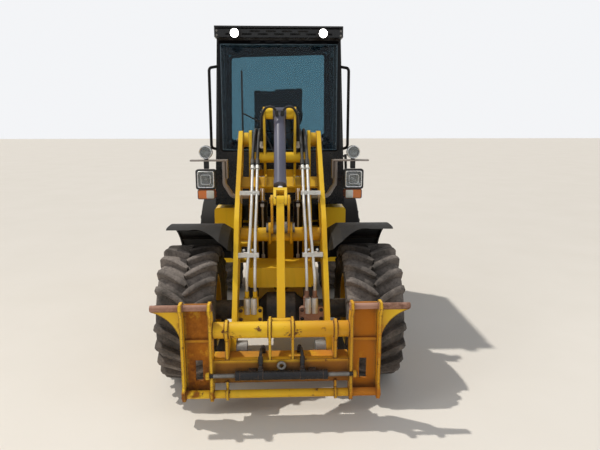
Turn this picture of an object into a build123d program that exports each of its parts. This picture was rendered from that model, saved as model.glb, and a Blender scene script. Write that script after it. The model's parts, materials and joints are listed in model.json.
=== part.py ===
from build123d import *
import math
import os

# Compact articulated wheel loader with a quick hitch on the arms. Millimetres, +Z up.
# It faces -Y, its own left is +X, and z = 0 is the ground. Lengthwise places below are
# given as distance behind the front axle and turned into frame Y by at().

# Overall plan
wheelbase = 1750.0
rear_overhang = 830.0
hitch_reach = 663.0
total_length = hitch_reach + wheelbase + rear_overhang
front_axle_y = hitch_reach - total_length / 2
articulation_at = wheelbase / 2

# Wheels
tyre_radius = 430.0
tyre_width = 355.0
tyre_outer_x = 745.0
tyre_centre_x = tyre_outer_x - tyre_width / 2
bead_half = tyre_width / 2 - 40
lug_height = 30.0
lug_count = 17
lug_thickness = 42.0
rim_radius = 222.0
rim_wall = 9.0
rim_dish = 60.0
hub_radius = 86.0
hub_bore = 46.0
axle_height = tyre_radius
stud_circle_radius = 102.5
stud_count = 5

# Gaps
pin_gap = 0.3
plate_gap = 0.8
running_gap = 6.0

# Arms and linkage: places are (distance behind the front axle, height)
arm_pivot = (500.0, 1520.0)
lever_pivot = (-20.0, 985.0)
hitch_pivot = (-430.0, 345.0)
link_offset = (-49.0, 184.0)
arm_inner_x = 260.0
arm_thickness = 30.0
arm_knee = (20.0, 985.0)
arm_tube = (55.0, 925.0)
arm_tube_radius = 45.0
arm_end_radius = 62.0
arm_knee_radius = 105.0
arm_tip_radius = 52.0
arm_pin_radius = 25.0
hitch_pin_radius = 20.0
lever_pin_radius = 18.0
small_pin_radius = 16.0

tower_pin = (arm_pivot[0] + link_offset[0], arm_pivot[1] + link_offset[1])
link_top = (lever_pivot[0] + link_offset[0], lever_pivot[1] + link_offset[1])
link_foot = (hitch_pivot[0] + link_offset[0], hitch_pivot[1] + link_offset[1])
arm_outer_x = arm_inner_x + arm_thickness

# Side-by-side lanes of the linkage, measured from the mid plane
link_half = 24.0
clevis_inner_x = link_half + plate_gap
clevis_cheek = 19.0
clevis_outer_x = clevis_inner_x + clevis_cheek
lever_inner_x = clevis_outer_x + plate_gap
lever_thickness = 16.0
lever_outer_x = lever_inner_x + lever_thickness
bracket_inner_x = lever_outer_x + plate_gap
bracket_thickness = 15.0
bracket_outer_x = bracket_inner_x + bracket_thickness
tower_ear_inner_x = 100.0
tower_ear_thickness = 16.0
tower_ear_outer_x = tower_ear_inner_x + tower_ear_thickness

# Cylinders
tilt_barrel_radius = 39.0
tilt_rod_radius = 20.0
tilt_eye_radius = 32.0
clevis_depth = 66.0
clevis_web = 16.0
clevis_round = 26.0
tilt_barrel_end = 114.0
lift_base = (420.0, 620.0)
lift_eye_at = (348.0, 1249.0)
lift_x = 125.0
lift_barrel_end = 150.0
lift_eye_half = 19.5
lift_barrel_radius = 34.0
lift_rod_radius = 18.0
lift_eye_radius = 30.0
lug_plate = 14.0

# Front frame
frame_plate_inner = 196.0
frame_plate = 20.0
frame_plate_outer = frame_plate_inner + frame_plate
frame_bottom = 330.0
frame_top = 800.0
joint_upper = 760.0
joint_lower = 400.0
joint_lug = 40.0
joint_radius = 85.0
joint_pin_radius = 28.0
frame_front = -95.0
frame_front_bottom = 610.0
frame_rear = 720.0
tower_outline = [
    (frame_front, frame_front_bottom),
    (110, frame_front_bottom),
    (165, 500),
    (230, frame_bottom),
    (640, frame_bottom),
    (frame_rear, 420),
    (frame_rear, 800),
    (620, 900),
    (568, 1500),
    (555, 1585),
    (445, 1585),
    (405, 1470),
    (345, 1180),
    (200, 950),
    (140, frame_top - 20),
    (frame_front, frame_top - 40),
]
steer_height = 580.0
steer_eye = (-150.0, 745.0)
steer_base = (-275.0, 1335.0)
steer_lug_radius = 34.0
steer_barrel_radius = 27.0
steer_rod_radius = 15.0
steer_eye_half = 15.0
steer_barrel_end = 270.0
steer_bore_start = 50.0
steer_rod_start = 168.0

# Axles
axle_tube_radius = 62.0
hub_inner_x = 470.0
rim_face_x = tyre_centre_x - 4.0
shaft_radius = 24.0
shaft_tunnel = 62.0
shaft_height = 505.0
spindle_radius = 30.0

# Fenders
front_fender_radius = 570.0
rear_fender_radius = 522.0
fender_sheet = 8.0
front_fender_inner_x = 296.0
rear_fender_inner_x = 350.0
fender_turn = 76.0
fender_outer_x = 717.0
front_fender_from = 22.0
front_fender_edge = (862.0, 990.0)
front_fender_arc = 109.0
rear_fender_from = 35.0
rear_fender_arc = 110.0

# Cab
cab_front = 900.0
cab_rear = wheelbase + 225
cab_floor = 985.0
cab_roof_under = 2270.0
cab_half_low = 522.0
cab_half_high = 476.0
cab_lean_front = 22.0
cab_lean_rear = 45.0
cab_wall = 45.0
cab_post = 62.0
glass_depth = 12.0
glass_thickness = 6.0
sill_height = cab_floor + 430
header_height = cab_roof_under - 55
roof_top = cab_roof_under + 80
door_front = 975.0
door_rear = cab_rear - 255
door_bottom = 1055.0
door_gap = 6.0
door_hinge_heights = (door_bottom + 185, header_height - 205)

# Arms, worked out from the places above
arm_direction = math.atan2(arm_pivot[1] - lever_pivot[1], arm_pivot[0] - lever_pivot[0])
crossbar = (256.0, 1241.0)
crossbar_width = 84.0
crossbar_thickness = 20.0
pipe_block_at = (-270.0, 497.0)
coupler_radius = 19.5
coupler_top = 600.0

# Service pipes on the arms
pipe_radius = 9.0
pipe_route = [
    (166.0, 16.0, 210.0, 1372.0),
    (166.0, 16.0, -20.0, 1130.0),
    (172.0, 16.0, -105.0, 985.0),
    (182.0, 25.0, -250.0, 720.0),
    (182.0, 25.0, -250.0, 640.0),
]
pipe_clamps = [((46.5, 1200.0), (130.0, 1130.0)), ((-180.0, 848.0), (-127.0, 820.0))]
clamp_half = 12.0

# Quick hitch
link_foot_half = 55.0
hitch_tube = (-575.0, 527.0)
hitch_tube_radius = 45.0
hitch_tube_half = 398.0
hitch_face = 8.0 - hitch_reach
hitch_depth = 100.0
hitch_outer_x = 530.0
hitch_inner_x = 376.0
hitch_plate = 18.0
hitch_bottom = 130.0
hitch_top = 700.0
hitch_top_bar = 672.0
hitch_low_bar = 165.0
ear_thickness = 18.0
pin_boss_radius = 51.0
pin_boss_inner_x = 198.0
lock_height = 284.0
lock_rod_radius = 12.0
lock_barrel_radius = 25.5
lock_half = 250.0
lock_reach = 420.0
ear_inner_thickness = 15.0
ear_skirt = [(-604, 540), (-560, 500), (-570, 362), (-604, 362)]
ear_gusset = [(-400, 330), (-440, 385), (-600, 470), (-600, 240), (-420, 305)]
strap_x = 300.0

# Rear frame
rear_plate_inner = 180.0
rear_plate = 20.0
rear_front = 1060.0
rear_end = wheelbase + rear_overhang
rear_arch_front = wheelbase - 232
cab_mount_places = (1180, wheelbase + 50)
rear_top = joint_upper + 60
mount_x = 288.0
tank_rear = wheelbase - 518
tank_inner_x = 345.0
tank_outer_x = 548.0
weight_front = wheelbase + 512
weight_half = 600.0
weight_bottom = 440.0
weight_top = 985.0
tow_half = 120.0
tow_depth = 160.0
tow_plate_z = 560.0
tow_pin_in = 80.0
hood_front = wheelbase + 256
hood_half = 455.0
hood_bottom = weight_top + running_gap
hood_top_front = 1440.0
hood_top_rear = 1330.0
hood_sheet = 24.0
hood_hinge = (hood_front + 16, 1462.0)

# Cab door
door_hinge_x = cab_half_low + 26

# Seat and steering wheel
wheel_centre = (cab_front + 330, cab_floor + 705)
seat_front = cab_rear - 555
seat_height = cab_floor + 305
wheel_lean = (0.6585, 0.7526)


def at(behind):
    """Frame Y of a place given as distance behind the front axle."""
    return front_axle_y + behind


def place(point):
    """Frame (y, z) of a (behind, height) point."""
    return (at(point[0]), point[1])


def block(x0, x1, behind0, behind1, z0, z1):
    """A box between two corners."""
    size = (x1 - x0, behind1 - behind0, z1 - z0)
    return Pos((x0 + x1) / 2, at((behind0 + behind1) / 2), (z0 + z1) / 2) * Box(*size)


def cross_round(point, radius, x0, x1):
    """A round bar along X through a (behind, height) point."""
    y, z = place(point)
    plane = Plane(origin=(x0, y, z), z_dir=(1, 0, 0))
    return plane * Cylinder(radius, x1 - x0, align=(Align.CENTER, Align.CENTER, Align.MIN))


def rod(start, end, radius):
    """A round bar between two frame points."""
    run = Vector(*end) - Vector(*start)
    plane = Plane(origin=start, z_dir=run)
    return plane * Cylinder(radius, run.length, align=(Align.CENTER, Align.CENTER, Align.MIN))


def side_plate(points, x0, x1, radius=0.0):
    """A flat plate of thickness x0 to x1 with a (behind, height) outline."""
    corners = [(at(b), z) for b, z in points]
    if radius:
        outline = FilletPolyline(*corners, radius=radius, close=True)
    else:
        outline = Polyline(*corners, close=True)
    return Pos(x0, 0, 0) * extrude(Plane.YZ * make_face(outline), x1 - x0)


def taper_plate(p, p_radius, q, q_radius, x0, x1):
    """A plate with round ends of two radii about two (behind, height) points."""
    py, pz = place(p)
    qy, qz = place(q)
    length = math.hypot(qy - py, qz - pz)
    heading = math.atan2(qz - pz, qy - py)
    spread = math.acos((p_radius - q_radius) / length)

    def rim(y, z, radius, angle):
        return (y + radius * math.cos(angle), z + radius * math.sin(angle))

    p_left = rim(py, pz, p_radius, heading + spread)
    p_right = rim(py, pz, p_radius, heading - spread)
    p_far = rim(py, pz, p_radius, heading + math.pi)
    q_left = rim(qy, qz, q_radius, heading + spread)
    q_right = rim(qy, qz, q_radius, heading - spread)
    q_far = rim(qy, qz, q_radius, heading)
    edges = [
        Line(p_left, q_left),
        ThreePointArc(q_left, q_far, q_right),
        Line(q_right, p_right),
        ThreePointArc(p_right, p_far, p_left),
    ]
    return Pos(x0, 0, 0) * extrude(Plane.YZ * make_face(edges), x1 - x0)


def both(shape):
    """The shape and its mirror image across the mid plane."""
    return shape + mirror(shape, about=Plane.YZ)


def pair(shape):
    """Two separate solids: the shape and its mirror image."""
    return Compound(children=[*shape.solids(), *mirror(shape, about=Plane.YZ).solids()])


def group(*shapes):
    """Several separate solids in one node."""
    return Compound(children=[solid for shape in shapes for solid in shape.solids()])


# Tyres and rims


def tyre_section(radius, shoulder_drop, wall_bulge):
    """Half of the section of a tyre, as a closed outline in the (x, radial) plane."""
    half = tyre_width / 2
    tread_half = half - 14
    outline = [
        (-bead_half, rim_radius),
        (-bead_half, rim_radius + 20),
        (-half + wall_bulge, rim_radius + 66),
        (-half, (radius + rim_radius) / 2 + 10),
        (-tread_half, radius - shoulder_drop),
        (-tread_half + 60, radius - 4),
        (0, radius),
    ]
    mirrored = [(-x, r) for x, r in reversed(outline[:-1])]
    return outline + mirrored


def tyre_envelope(radius, shoulder_drop, wall_bulge):
    section = make_face(Polyline(*tyre_section(radius, shoulder_drop, wall_bulge), close=True))
    return revolve(Plane.XY * section, Axis.X, 360)


def tyre():
    """A wide low-pressure tyre with a V pattern of bar lugs, about the X axis."""
    carcass = tyre_envelope(tyre_radius - lug_height, 34, 16)
    reach = tyre_envelope(tyre_radius, 26, 2)
    lug_length = tyre_width * 0.66
    pitch = 360 / lug_count
    lugs = []
    for side, phase in ((-1, 0.0), (1, 0.5)):
        bar = Pos(side * (tyre_width / 4 + 4), 0, tyre_radius - 32) * Rot(0, 0, side * 38) * Box(
            lug_length, lug_thickness, 76
        )
        bar = (bar & reach) - (Pos(-side * 100, 0, tyre_radius) * Box(200 - 16, 300, 300))
        for turn in range(lug_count):
            lugs.append(Rot((turn + phase) * pitch, 0, 0) * bar)
    return carcass + lugs


def rim():
    """A pressed steel rim with its dished disc, about the X axis, open side inward (-X)."""
    seat = rim_radius - pin_gap
    lip = bead_half + pin_gap
    barrel_outline = [
        (-lip - rim_wall, seat - rim_wall),
        (-lip - rim_wall, rim_radius + 15),
        (-lip, rim_radius + 15),
        (-lip, seat),
        (lip, seat),
        (lip, rim_radius + 15),
        (lip + rim_wall, rim_radius + 15),
        (lip + rim_wall, seat - rim_wall),
        (60, seat - rim_wall - 14),
    ]
    barrel = revolve(make_face(Polyline(*barrel_outline, close=True)), Axis.X, 360)
    disc_outline = [
        (56, seat - rim_wall - 2),
        (56 + 12, seat - rim_wall - 2),
        (56 + 12 - 20, 150),
        (56 + 12 - rim_dish, 132),
        (56 + 12 - rim_dish, hub_bore),
        (56 - rim_dish, hub_bore),
        (56 - rim_dish, 138),
        (56 - 20, 160),
    ]
    disc = revolve(make_face(Polyline(*disc_outline, close=True)), Axis.X, 360)
    holes = [
        Rot(turn * 360 / stud_count, 0, 0) * Pos(0, 0, stud_circle_radius) * Rot(0, 90, 0) * Cylinder(9, 200)
        for turn in range(stud_count)
    ]
    return barrel + disc - holes


# Front frame with its tower


def joint_plate(z_mid, thickness, reach, half_width):
    """A horizontal plate about the frame joint that widens towards one frame."""
    y0 = at(articulation_at)
    side = math.copysign(1, reach)
    outline = [
        Line((joint_radius, y0), (half_width, y0 + reach)),
        Line((half_width, y0 + reach), (-half_width, y0 + reach)),
        Line((-half_width, y0 + reach), (-joint_radius, y0)),
        ThreePointArc((-joint_radius, y0), (0, y0 - side * joint_radius), (joint_radius, y0)),
    ]
    return Pos(0, 0, z_mid - thickness / 2) * extrude(make_face(outline), thickness)


def joint_bore(radius):
    height = joint_upper - joint_lower + 400
    return Pos(0, at(articulation_at), (joint_upper + joint_lower) / 2) * Cylinder(radius, height)


def upright(x, behind, radius, z0, z1):
    """A vertical round bar."""
    return Pos(x, at(behind), (z0 + z1) / 2) * Cylinder(radius, z1 - z0)


def steer_lugs(point, x_root):
    """Two horizontal lugs with a pin that hold one end of the steering cylinder."""
    x, behind = point
    lugs = None
    for side in (-1, 1):
        z_mid = steer_height + side * (steer_eye_half + plate_gap + lug_plate / 2)
        z0, z1 = z_mid - lug_plate / 2, z_mid + lug_plate / 2
        lug = upright(x, behind, steer_lug_radius, z0, z1)
        lug += block(min(x, x_root), max(x, x_root), behind - steer_lug_radius,
                     behind + steer_lug_radius, z0, z1)
        lugs = lug if lugs is None else lugs + lug
    return lugs


def front_chassis():
    inner = frame_plate_inner
    wall = side_plate(tower_outline, inner, frame_plate_outer, radius=22)
    boss = cross_round(arm_pivot, 50, frame_plate_outer, arm_inner_x - plate_gap)
    frame = both(wall + boss)
    frame += block(-inner, inner, frame_front, frame_front + 16, frame_front_bottom, frame_top - 60)
    frame += block(-inner, inner, frame_front, 140, frame_top - 76, frame_top - 60)
    frame += block(-inner, inner, 230, 640, frame_bottom, frame_bottom + 14)
    frame += block(-inner, inner, 620, 640, frame_bottom + 14, 860)
    frame += cross_round((480, 1395), 38, -inner, inner)
    frame += block(-inner, inner, 556, 576, 1130, 1300)
    ear = taper_plate(tower_pin, 44, (515, 1400), 62, tower_ear_inner_x, tower_ear_outer_x)
    ear += side_plate([(460, 1420), (570, 1420), (576, 1140), (540, 1140)],
                      tower_ear_inner_x, tower_ear_outer_x)
    frame += both(ear)
    for z_mid in (joint_upper, joint_lower):
        frame += joint_plate(z_mid, joint_lug, 640 - articulation_at, inner)
    frame += block(-inner, inner, 350, 490, frame_bottom + 14, 560)
    for x_mid in (-lift_x, lift_x):
        for side in (-1, 1):
            x0 = x_mid + side * (lift_eye_half + plate_gap + lug_plate / 2) - lug_plate / 2
            frame += taper_plate(lift_base, 36, (lift_base[0], 540), 52, x0, x0 + lug_plate)
    frame += steer_lugs(steer_eye, -60)
    frame += block(-74, -40, 640, steer_eye[1] + steer_lug_radius, 500, 660)
    # The right wall is notched where the steering rod swings past it.
    frame -= block(-inner - 40, 1 - inner, frame_rear - 20, frame_rear + 1,
                   steer_height - 30, steer_height + 30)
    frame -= cross_round(arm_pivot, arm_pin_radius + pin_gap, -400, 400)
    frame -= cross_round(tower_pin, lever_pin_radius + pin_gap, -180, 180)
    frame -= cross_round(lift_base, small_pin_radius + pin_gap, -180, 180)
    frame -= joint_bore(joint_pin_radius + pin_gap)
    frame -= axle_cut(0)
    frame -= shaft_cut(60, articulation_at - 60)
    for bracket_at in ((210, 822), (380, 660)):
        frame += both(cross_round(bracket_at, 17, frame_plate_outer, front_fender_inner_x))
    return frame


def differential(extra):
    """The bulge in the middle of an axle, about the X axis, grown by extra."""
    outline = [
        (-158 - extra, 0),
        (-158 - extra, 50 + extra),
        (-92, 112 + extra),
        (92, 112 + extra),
        (158 + extra, 50 + extra),
        (158 + extra, 0),
    ]
    return revolve(make_face(Polyline(*outline, close=True)), Axis.X, 360)


def axle_cut(behind):
    """The room that an axle's tubes and differential take."""
    tubes = cross_round((behind, axle_height), axle_tube_radius, -400, 400)
    return tubes + Pos(0, at(behind), axle_height) * differential(4)


def shaft_cut(behind0, behind1):
    """The tunnel for the drive shaft through the cross plates."""
    return rod((0, at(behind0), shaft_height - 20), (0, at(behind1), shaft_height), shaft_tunnel)


def pin_caps(point, radius, x0, x1):
    """A pin with a wider, thin head at each end."""
    pin = cross_round(point, radius, x0, x1)
    pin += cross_round(point, radius + 9, x0 - 7, x0)
    return pin + cross_round(point, radius + 9, x1, x1 + 7)


def boom_pins():
    """The two pins on which the arms swing, and the two at the lift cylinders' feet."""
    arm_pin = pin_caps(arm_pivot, arm_pin_radius, frame_plate_inner, arm_outer_x)
    reach = lift_eye_half + plate_gap + lug_plate
    foot_pin = pin_caps(lift_base, small_pin_radius, lift_x - reach, lift_x + reach)
    top_pin = pin_caps(tower_pin, lever_pin_radius, -tower_ear_outer_x, tower_ear_outer_x)
    return group(pair(arm_pin), pair(foot_pin), top_pin)


def axle(behind, pad_half, seat_top):
    """A driven axle: tubes, differential bulge, spindles and the drive flange."""
    centre = (behind, axle_height)
    body = cross_round(centre, axle_tube_radius, -hub_inner_x + 3, hub_inner_x - 3)
    body += Pos(0, at(behind), axle_height) * differential(0)
    body += both(cross_round(centre, spindle_radius, 400, rim_face_x + 15))
    body += both(cross_round(centre, axle_tube_radius + 16, hub_inner_x - 30, hub_inner_x - 3))
    body += both(block(pad_half - 40, pad_half + 40, behind - 62, behind + 62, axle_height, seat_top))
    return body


def drive_shaft(behind, stop):
    """The half of the drive shaft that belongs to one axle, up to the frame joint."""
    side = math.copysign(1, stop - behind)
    start = (0, at(behind) + side * 90, axle_height + 25)
    collar = (0, at(behind) + side * 135, axle_height + 25)
    return rod(start, (0, at(stop), shaft_height), shaft_radius) + rod(start, collar, 50)


def fender_shell(outer, start, arc, x_inner, rib_count):
    """A curved sheet over the tyre with an inner side wall and ribs under it."""
    bend, tip, sheet = x_inner + fender_turn, fender_outer_x, fender_sheet
    section = [
        (tip, outer - 26),
        (tip, outer - 8),
        (tip - 10, outer),
        (bend, outer),
        (x_inner + 22, outer - 32),
        (x_inner, outer - 80),
        (x_inner, outer - 160),
        (x_inner + sheet, outer - 160),
        (x_inner + sheet, outer - 84),
        (x_inner + 28, outer - 40),
        (bend + 2, outer - sheet),
        (tip - 13, outer - sheet),
        (tip - sheet, outer - 14),
        (tip - sheet, outer - 26),
    ]
    face = make_face(Polyline(*section, close=True))
    shell = Rot(start, 0, 0) * revolve(face, Axis.X, arc)
    for number in range(rib_count):
        angle = start + arc * (number + 0.5) / rib_count
        rib = Pos((tip + bend) / 2, outer - sheet - 8, 0) * Box(tip - bend - 20, 20, 7)
        shell += Rot(angle, 0, 0) * rib
    return shell


def fenders(behind, *shell_sizes):
    return pair(Pos(0, at(behind), axle_height) * fender_shell(*shell_sizes))


def front_edge_cut():
    """What is trimmed off a front fender, so that its front edge rises towards the outside."""
    low, high = front_fender_edge
    inner, outer = front_fender_inner_x - 10, fender_outer_x + 10
    outline = [
        ThreePointArc((inner, low), (inner + 130, high - 22), (inner + 280, high)),
        Line((inner + 280, high), (outer, high)),
        Line((outer, high), (outer, low - 400)),
        Line((outer, low - 400), (inner, low - 400)),
        Line((inner, low - 400), (inner, low)),
    ]
    plate = extrude(Plane.XZ * make_face(outline), front_fender_radius + 20)
    return both(Pos(0, at(0) - 6, 0) * plate)


def front_fenders():
    shells = fenders(0, front_fender_radius, front_fender_from, front_fender_arc, front_fender_inner_x, 7)
    return group(*[shell - front_edge_cut() for shell in shells.solids()])


def wheel_at(shape, side, behind):
    """A wheel piece modelled about X, moved to its hub; the left one is mirrored."""
    turned = shape if side > 0 else mirror(shape, about=Plane.YZ)
    return Pos(side * tyre_centre_x, at(behind), axle_height) * turned


def hub():
    """The hub drum behind the rim's disc, with the nose in front of it and the spindle's bore."""
    face = rim_face_x - tyre_centre_x
    length = rim_face_x - hub_inner_x
    drum = Pos(face - length / 2, 0, 0) * Rot(0, 90, 0) * Cylinder(hub_radius, length)
    nose = Pos(face + 24, 0, 0) * Rot(0, 90, 0) * Cylinder(hub_bore, 48)
    bore = Pos(face - length / 2 - 10, 0, 0) * Rot(0, 90, 0) * Cylinder(spindle_radius + pin_gap, length + 60)
    return drum + nose - bore


# Arms and linkage


def arms():
    """Both arm plates with the cross tube, the flat crossbar and the lever brackets."""
    x0, x1 = arm_inner_x, arm_outer_x
    arm = taper_plate(arm_pivot, arm_end_radius, arm_knee, arm_knee_radius, x0, x1)
    arm += taper_plate(arm_knee, arm_knee_radius, hitch_pivot, arm_tip_radius, x0, x1)
    body = both(arm)
    body += cross_round(arm_tube, arm_tube_radius, -x0, x0)
    y, z = place(crossbar)
    bar = Box(2 * x0, crossbar_width, crossbar_thickness)
    body += Pos(0, y, z) * Rot(math.degrees(arm_direction), 0, 0) * bar
    bracket = taper_plate(arm_tube, 64, lever_pivot, 34, bracket_inner_x, bracket_outer_x)
    body += both(bracket)
    for x_mid in (-lift_x, lift_x):
        for side in (-1, 1):
            start = x_mid + side * (lift_eye_half + plate_gap + lug_plate / 2) - lug_plate / 2
            body += taper_plate(lift_eye_at, 36, crossbar, 40, start, start + lug_plate)
    body -= cross_round(arm_pivot, arm_pin_radius + pin_gap, -400, 400)
    body -= cross_round(hitch_pivot, hitch_pin_radius + pin_gap, -400, 400)
    body -= cross_round(lever_pivot, lever_pin_radius + pin_gap, -200, 200)
    stub = lift_eye_half + plate_gap
    for x_mid in (-lift_x, lift_x):
        for side in (-1, 1):
            face = x_mid + side * (stub + lug_plate)
            body += cross_round(lift_eye_at, 22, min(face, face + side * 8), max(face, face + side * 8))
    return body


def round_path(points, radius, bend):
    """A pipe of straight runs joined by arcs, through frame points."""
    path = FilletPolyline(*points, radius=bend)
    start = path @ 0
    section = Plane(origin=start, z_dir=path % 0) * Circle(radius)
    return sweep(section, path=path)


def service_pipes():
    """Two steel pipes down the front of the left arm, with two clamps that reach the arm."""
    body = None
    for lane in (-1, 1):
        points = [(x + lane * spread, at(b), z) for x, spread, b, z in pipe_route]
        pipe = round_path(points, pipe_radius, 120)
        body = pipe if body is None else body + pipe
    inner = arm_inner_x - pin_gap
    for (b, z), on_arm in pipe_clamps:
        body += block(pipe_route[0][0] - 32, inner, b - 13, b + 13, z - clamp_half, z + clamp_half)
        body += taper_plate((b, z), clamp_half, on_arm, clamp_half - 0.1, inner - 8, inner)
    return body


def pipe_blocks():
    """The hitch coupling block at the pipes' lower ends, fixed inside the left arm."""
    b, z = pipe_block_at
    plate = block(112, arm_inner_x, b - 10, b + 10, z - 44, z + 44)
    plate = fillet(plate.edges().filter_by(Axis.Y), 8)
    top = block(122, 250, b + 8, b + 46, z - 30, z + 36)
    x, spread, end_b, end_z = pipe_route[-1]
    for lane in (-1, 1):
        top += upright(x + lane * spread, end_b, coupler_radius, z + 36, coupler_top)
        top += upright(x + lane * spread, end_b, 13, coupler_top, end_z - pin_gap)
    return plate + top


def lever():
    """The lever's two plates, one each side of the cylinder's clevis, on the lever pin."""
    plate = taper_plate(lever_pivot, 38, link_top, 34, lever_inner_x, lever_outer_x)
    plate -= cross_round(lever_pivot, lever_pin_radius + pin_gap, -200, 200)
    cap = cross_round(link_top, 20, lever_outer_x, lever_outer_x + 6)
    return pair(plate + cap)


def lever_pin():
    """The pin under the lever's plates with the thick sleeve between them and a head at each end."""
    pin = cross_round(lever_pivot, lever_pin_radius, -bracket_outer_x - 2, bracket_outer_x + 2)
    pin += cross_round(lever_pivot, 38, -lever_inner_x + plate_gap, lever_inner_x - plate_gap)
    return pin + both(cross_round(lever_pivot, 32, bracket_outer_x + 1, bracket_outer_x + 14))


def link_pin():
    return cross_round(link_top, small_pin_radius, -link_half, link_half)


def tilt_link():
    """The push link from the lever to the hitch: an eye, a flat bar and a wider foot."""
    head = cross_round(link_top, 30, -link_half, link_half)
    foot = cross_round(link_foot, 26, -link_foot_half, link_foot_half)
    y0, z0 = place(link_top)
    y1, z1 = place(link_foot)
    length = math.hypot(y1 - y0, z1 - z0)
    lean = math.degrees(math.atan2(y0 - y1, z0 - z1))
    middle = Pos(0, (y0 + y1) / 2, (z0 + z1) / 2) * Rot(-lean, 0, 0)
    bar = middle * Box(2 * link_half, 30, length)
    body = head + foot + bar
    body -= cross_round(link_top, small_pin_radius + pin_gap, -100, 100)
    return body


def along(start, end, distance, x=0.0):
    """Frame point a distance from one (behind, height) point towards another."""
    (y0, z0), (y1, z1) = place(start), place(end)
    length = math.hypot(y1 - y0, z1 - z0)
    return (x, y0 + (y1 - y0) * distance / length, z0 + (z1 - z0) * distance / length)


def span(start, end):
    return math.dist(start, end)


def tilt_barrel():
    """The tilt cylinder's barrel with its base eye on the tower and its gland nut."""
    length = span(tower_pin, link_top)
    end = length - tilt_barrel_end
    start = along(tower_pin, link_top, 30)
    stop = along(tower_pin, link_top, end)
    nut = along(tower_pin, link_top, end - 42)
    body = rod(start, stop, tilt_barrel_radius) + rod(nut, stop, tilt_barrel_radius + 3)
    body += cross_round(tower_pin, 40, -tower_ear_inner_x + plate_gap, tower_ear_inner_x - plate_gap)
    body -= cross_round(tower_pin, lever_pin_radius + pin_gap, -200, 200)
    inside = along(tower_pin, link_top, 120)
    beyond = along(tower_pin, link_top, end + 1)
    return body - rod(inside, beyond, tilt_rod_radius + pin_gap)


def tilt_rod():
    """The tilt cylinder's rod with a clevis that straddles the link's eye."""
    length = span(tower_pin, link_top)
    start = along(tower_pin, link_top, 260)
    web_far = along(tower_pin, link_top, length - clevis_depth - clevis_web)
    web_near = along(tower_pin, link_top, length - clevis_depth + 6)
    body = rod(start, web_near, tilt_rod_radius)
    cheek = None
    for side in (-1, 1):
        x0 = clevis_inner_x if side > 0 else -clevis_outer_x
        share = (clevis_depth + clevis_web - clevis_round) / length
        back = (link_top[0] + (tower_pin[0] - link_top[0]) * share,
                link_top[1] + (tower_pin[1] - link_top[1]) * share)
        plate = taper_plate(link_top, tilt_eye_radius, back, clevis_round, x0, x0 + clevis_cheek)
        cheek = plate if cheek is None else cheek + plate
    web = Plane(origin=web_far, x_dir=(1, 0, 0), z_dir=Vector(*web_near) - Vector(*web_far)) * Box(
        2 * clevis_outer_x, 50, clevis_web + 6, align=(Align.CENTER, Align.CENTER, Align.MIN))
    return body + cheek + web


def lift_barrels():
    """Both lift cylinder barrels, each with its base eye."""
    length = span(lift_base, lift_eye_at)
    end = length - lift_barrel_end
    start = along(lift_base, lift_eye_at, 26, lift_x)
    stop = along(lift_base, lift_eye_at, end, lift_x)
    nut = along(lift_base, lift_eye_at, end - 34, lift_x)
    body = rod(start, stop, lift_barrel_radius) + rod(nut, stop, lift_barrel_radius + 3)
    body += cross_round(lift_base, lift_eye_radius + 2, lift_x - lift_eye_half, lift_x + lift_eye_half)
    clear = lift_eye_half + plate_gap
    for x0 in (lift_x - clear - 40, lift_x + clear):
        body -= cross_round(lift_base, 44, x0, x0 + 40)
    body -= cross_round(lift_base, small_pin_radius + pin_gap, 0, 300)
    inside = along(lift_base, lift_eye_at, 80, lift_x)
    beyond = along(lift_base, lift_eye_at, end + 1, lift_x)
    return pair(body - rod(inside, beyond, lift_rod_radius + pin_gap))


def lift_rods():
    start = along(lift_base, lift_eye_at, 120, lift_x)
    stop = along(lift_base, lift_eye_at, span(lift_base, lift_eye_at) - 12, lift_x)
    body = rod(start, stop, lift_rod_radius)
    body += cross_round(lift_eye_at, lift_eye_radius, lift_x - lift_eye_half, lift_x + lift_eye_half)
    return pair(body)


def steer_point(distance):
    """Frame point a distance from the steering cylinder's base towards its rod eye."""
    start = (steer_base[0], at(steer_base[1]))
    end = (steer_eye[0], at(steer_eye[1]))
    length = math.dist(start, end)
    return (start[0] + (end[0] - start[0]) * distance / length,
            start[1] + (end[1] - start[1]) * distance / length, steer_height)


def steer_barrel():
    length = math.dist(steer_base, steer_eye)
    end = length - steer_barrel_end
    body = rod(steer_point(20), steer_point(end), steer_barrel_radius)
    half = steer_eye_half
    body -= upright(*steer_base, 56, steer_height + half, steer_height + 100)
    body -= upright(*steer_base, 56, steer_height - 100, steer_height - half)
    body += upright(*steer_base, 26, steer_height - half, steer_height + half)
    body -= upright(*steer_base, small_pin_radius + pin_gap, steer_height - 60, steer_height + 60)
    return body - rod(steer_point(steer_bore_start), steer_point(end + 1), steer_rod_radius + pin_gap)


def steer_rod():
    length = math.dist(steer_base, steer_eye)
    half = steer_eye_half
    body = rod(steer_point(steer_rod_start), steer_point(length - 10), steer_rod_radius)
    return body + upright(*steer_eye, 26, steer_height - half, steer_height + half)


# Quick hitch


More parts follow.
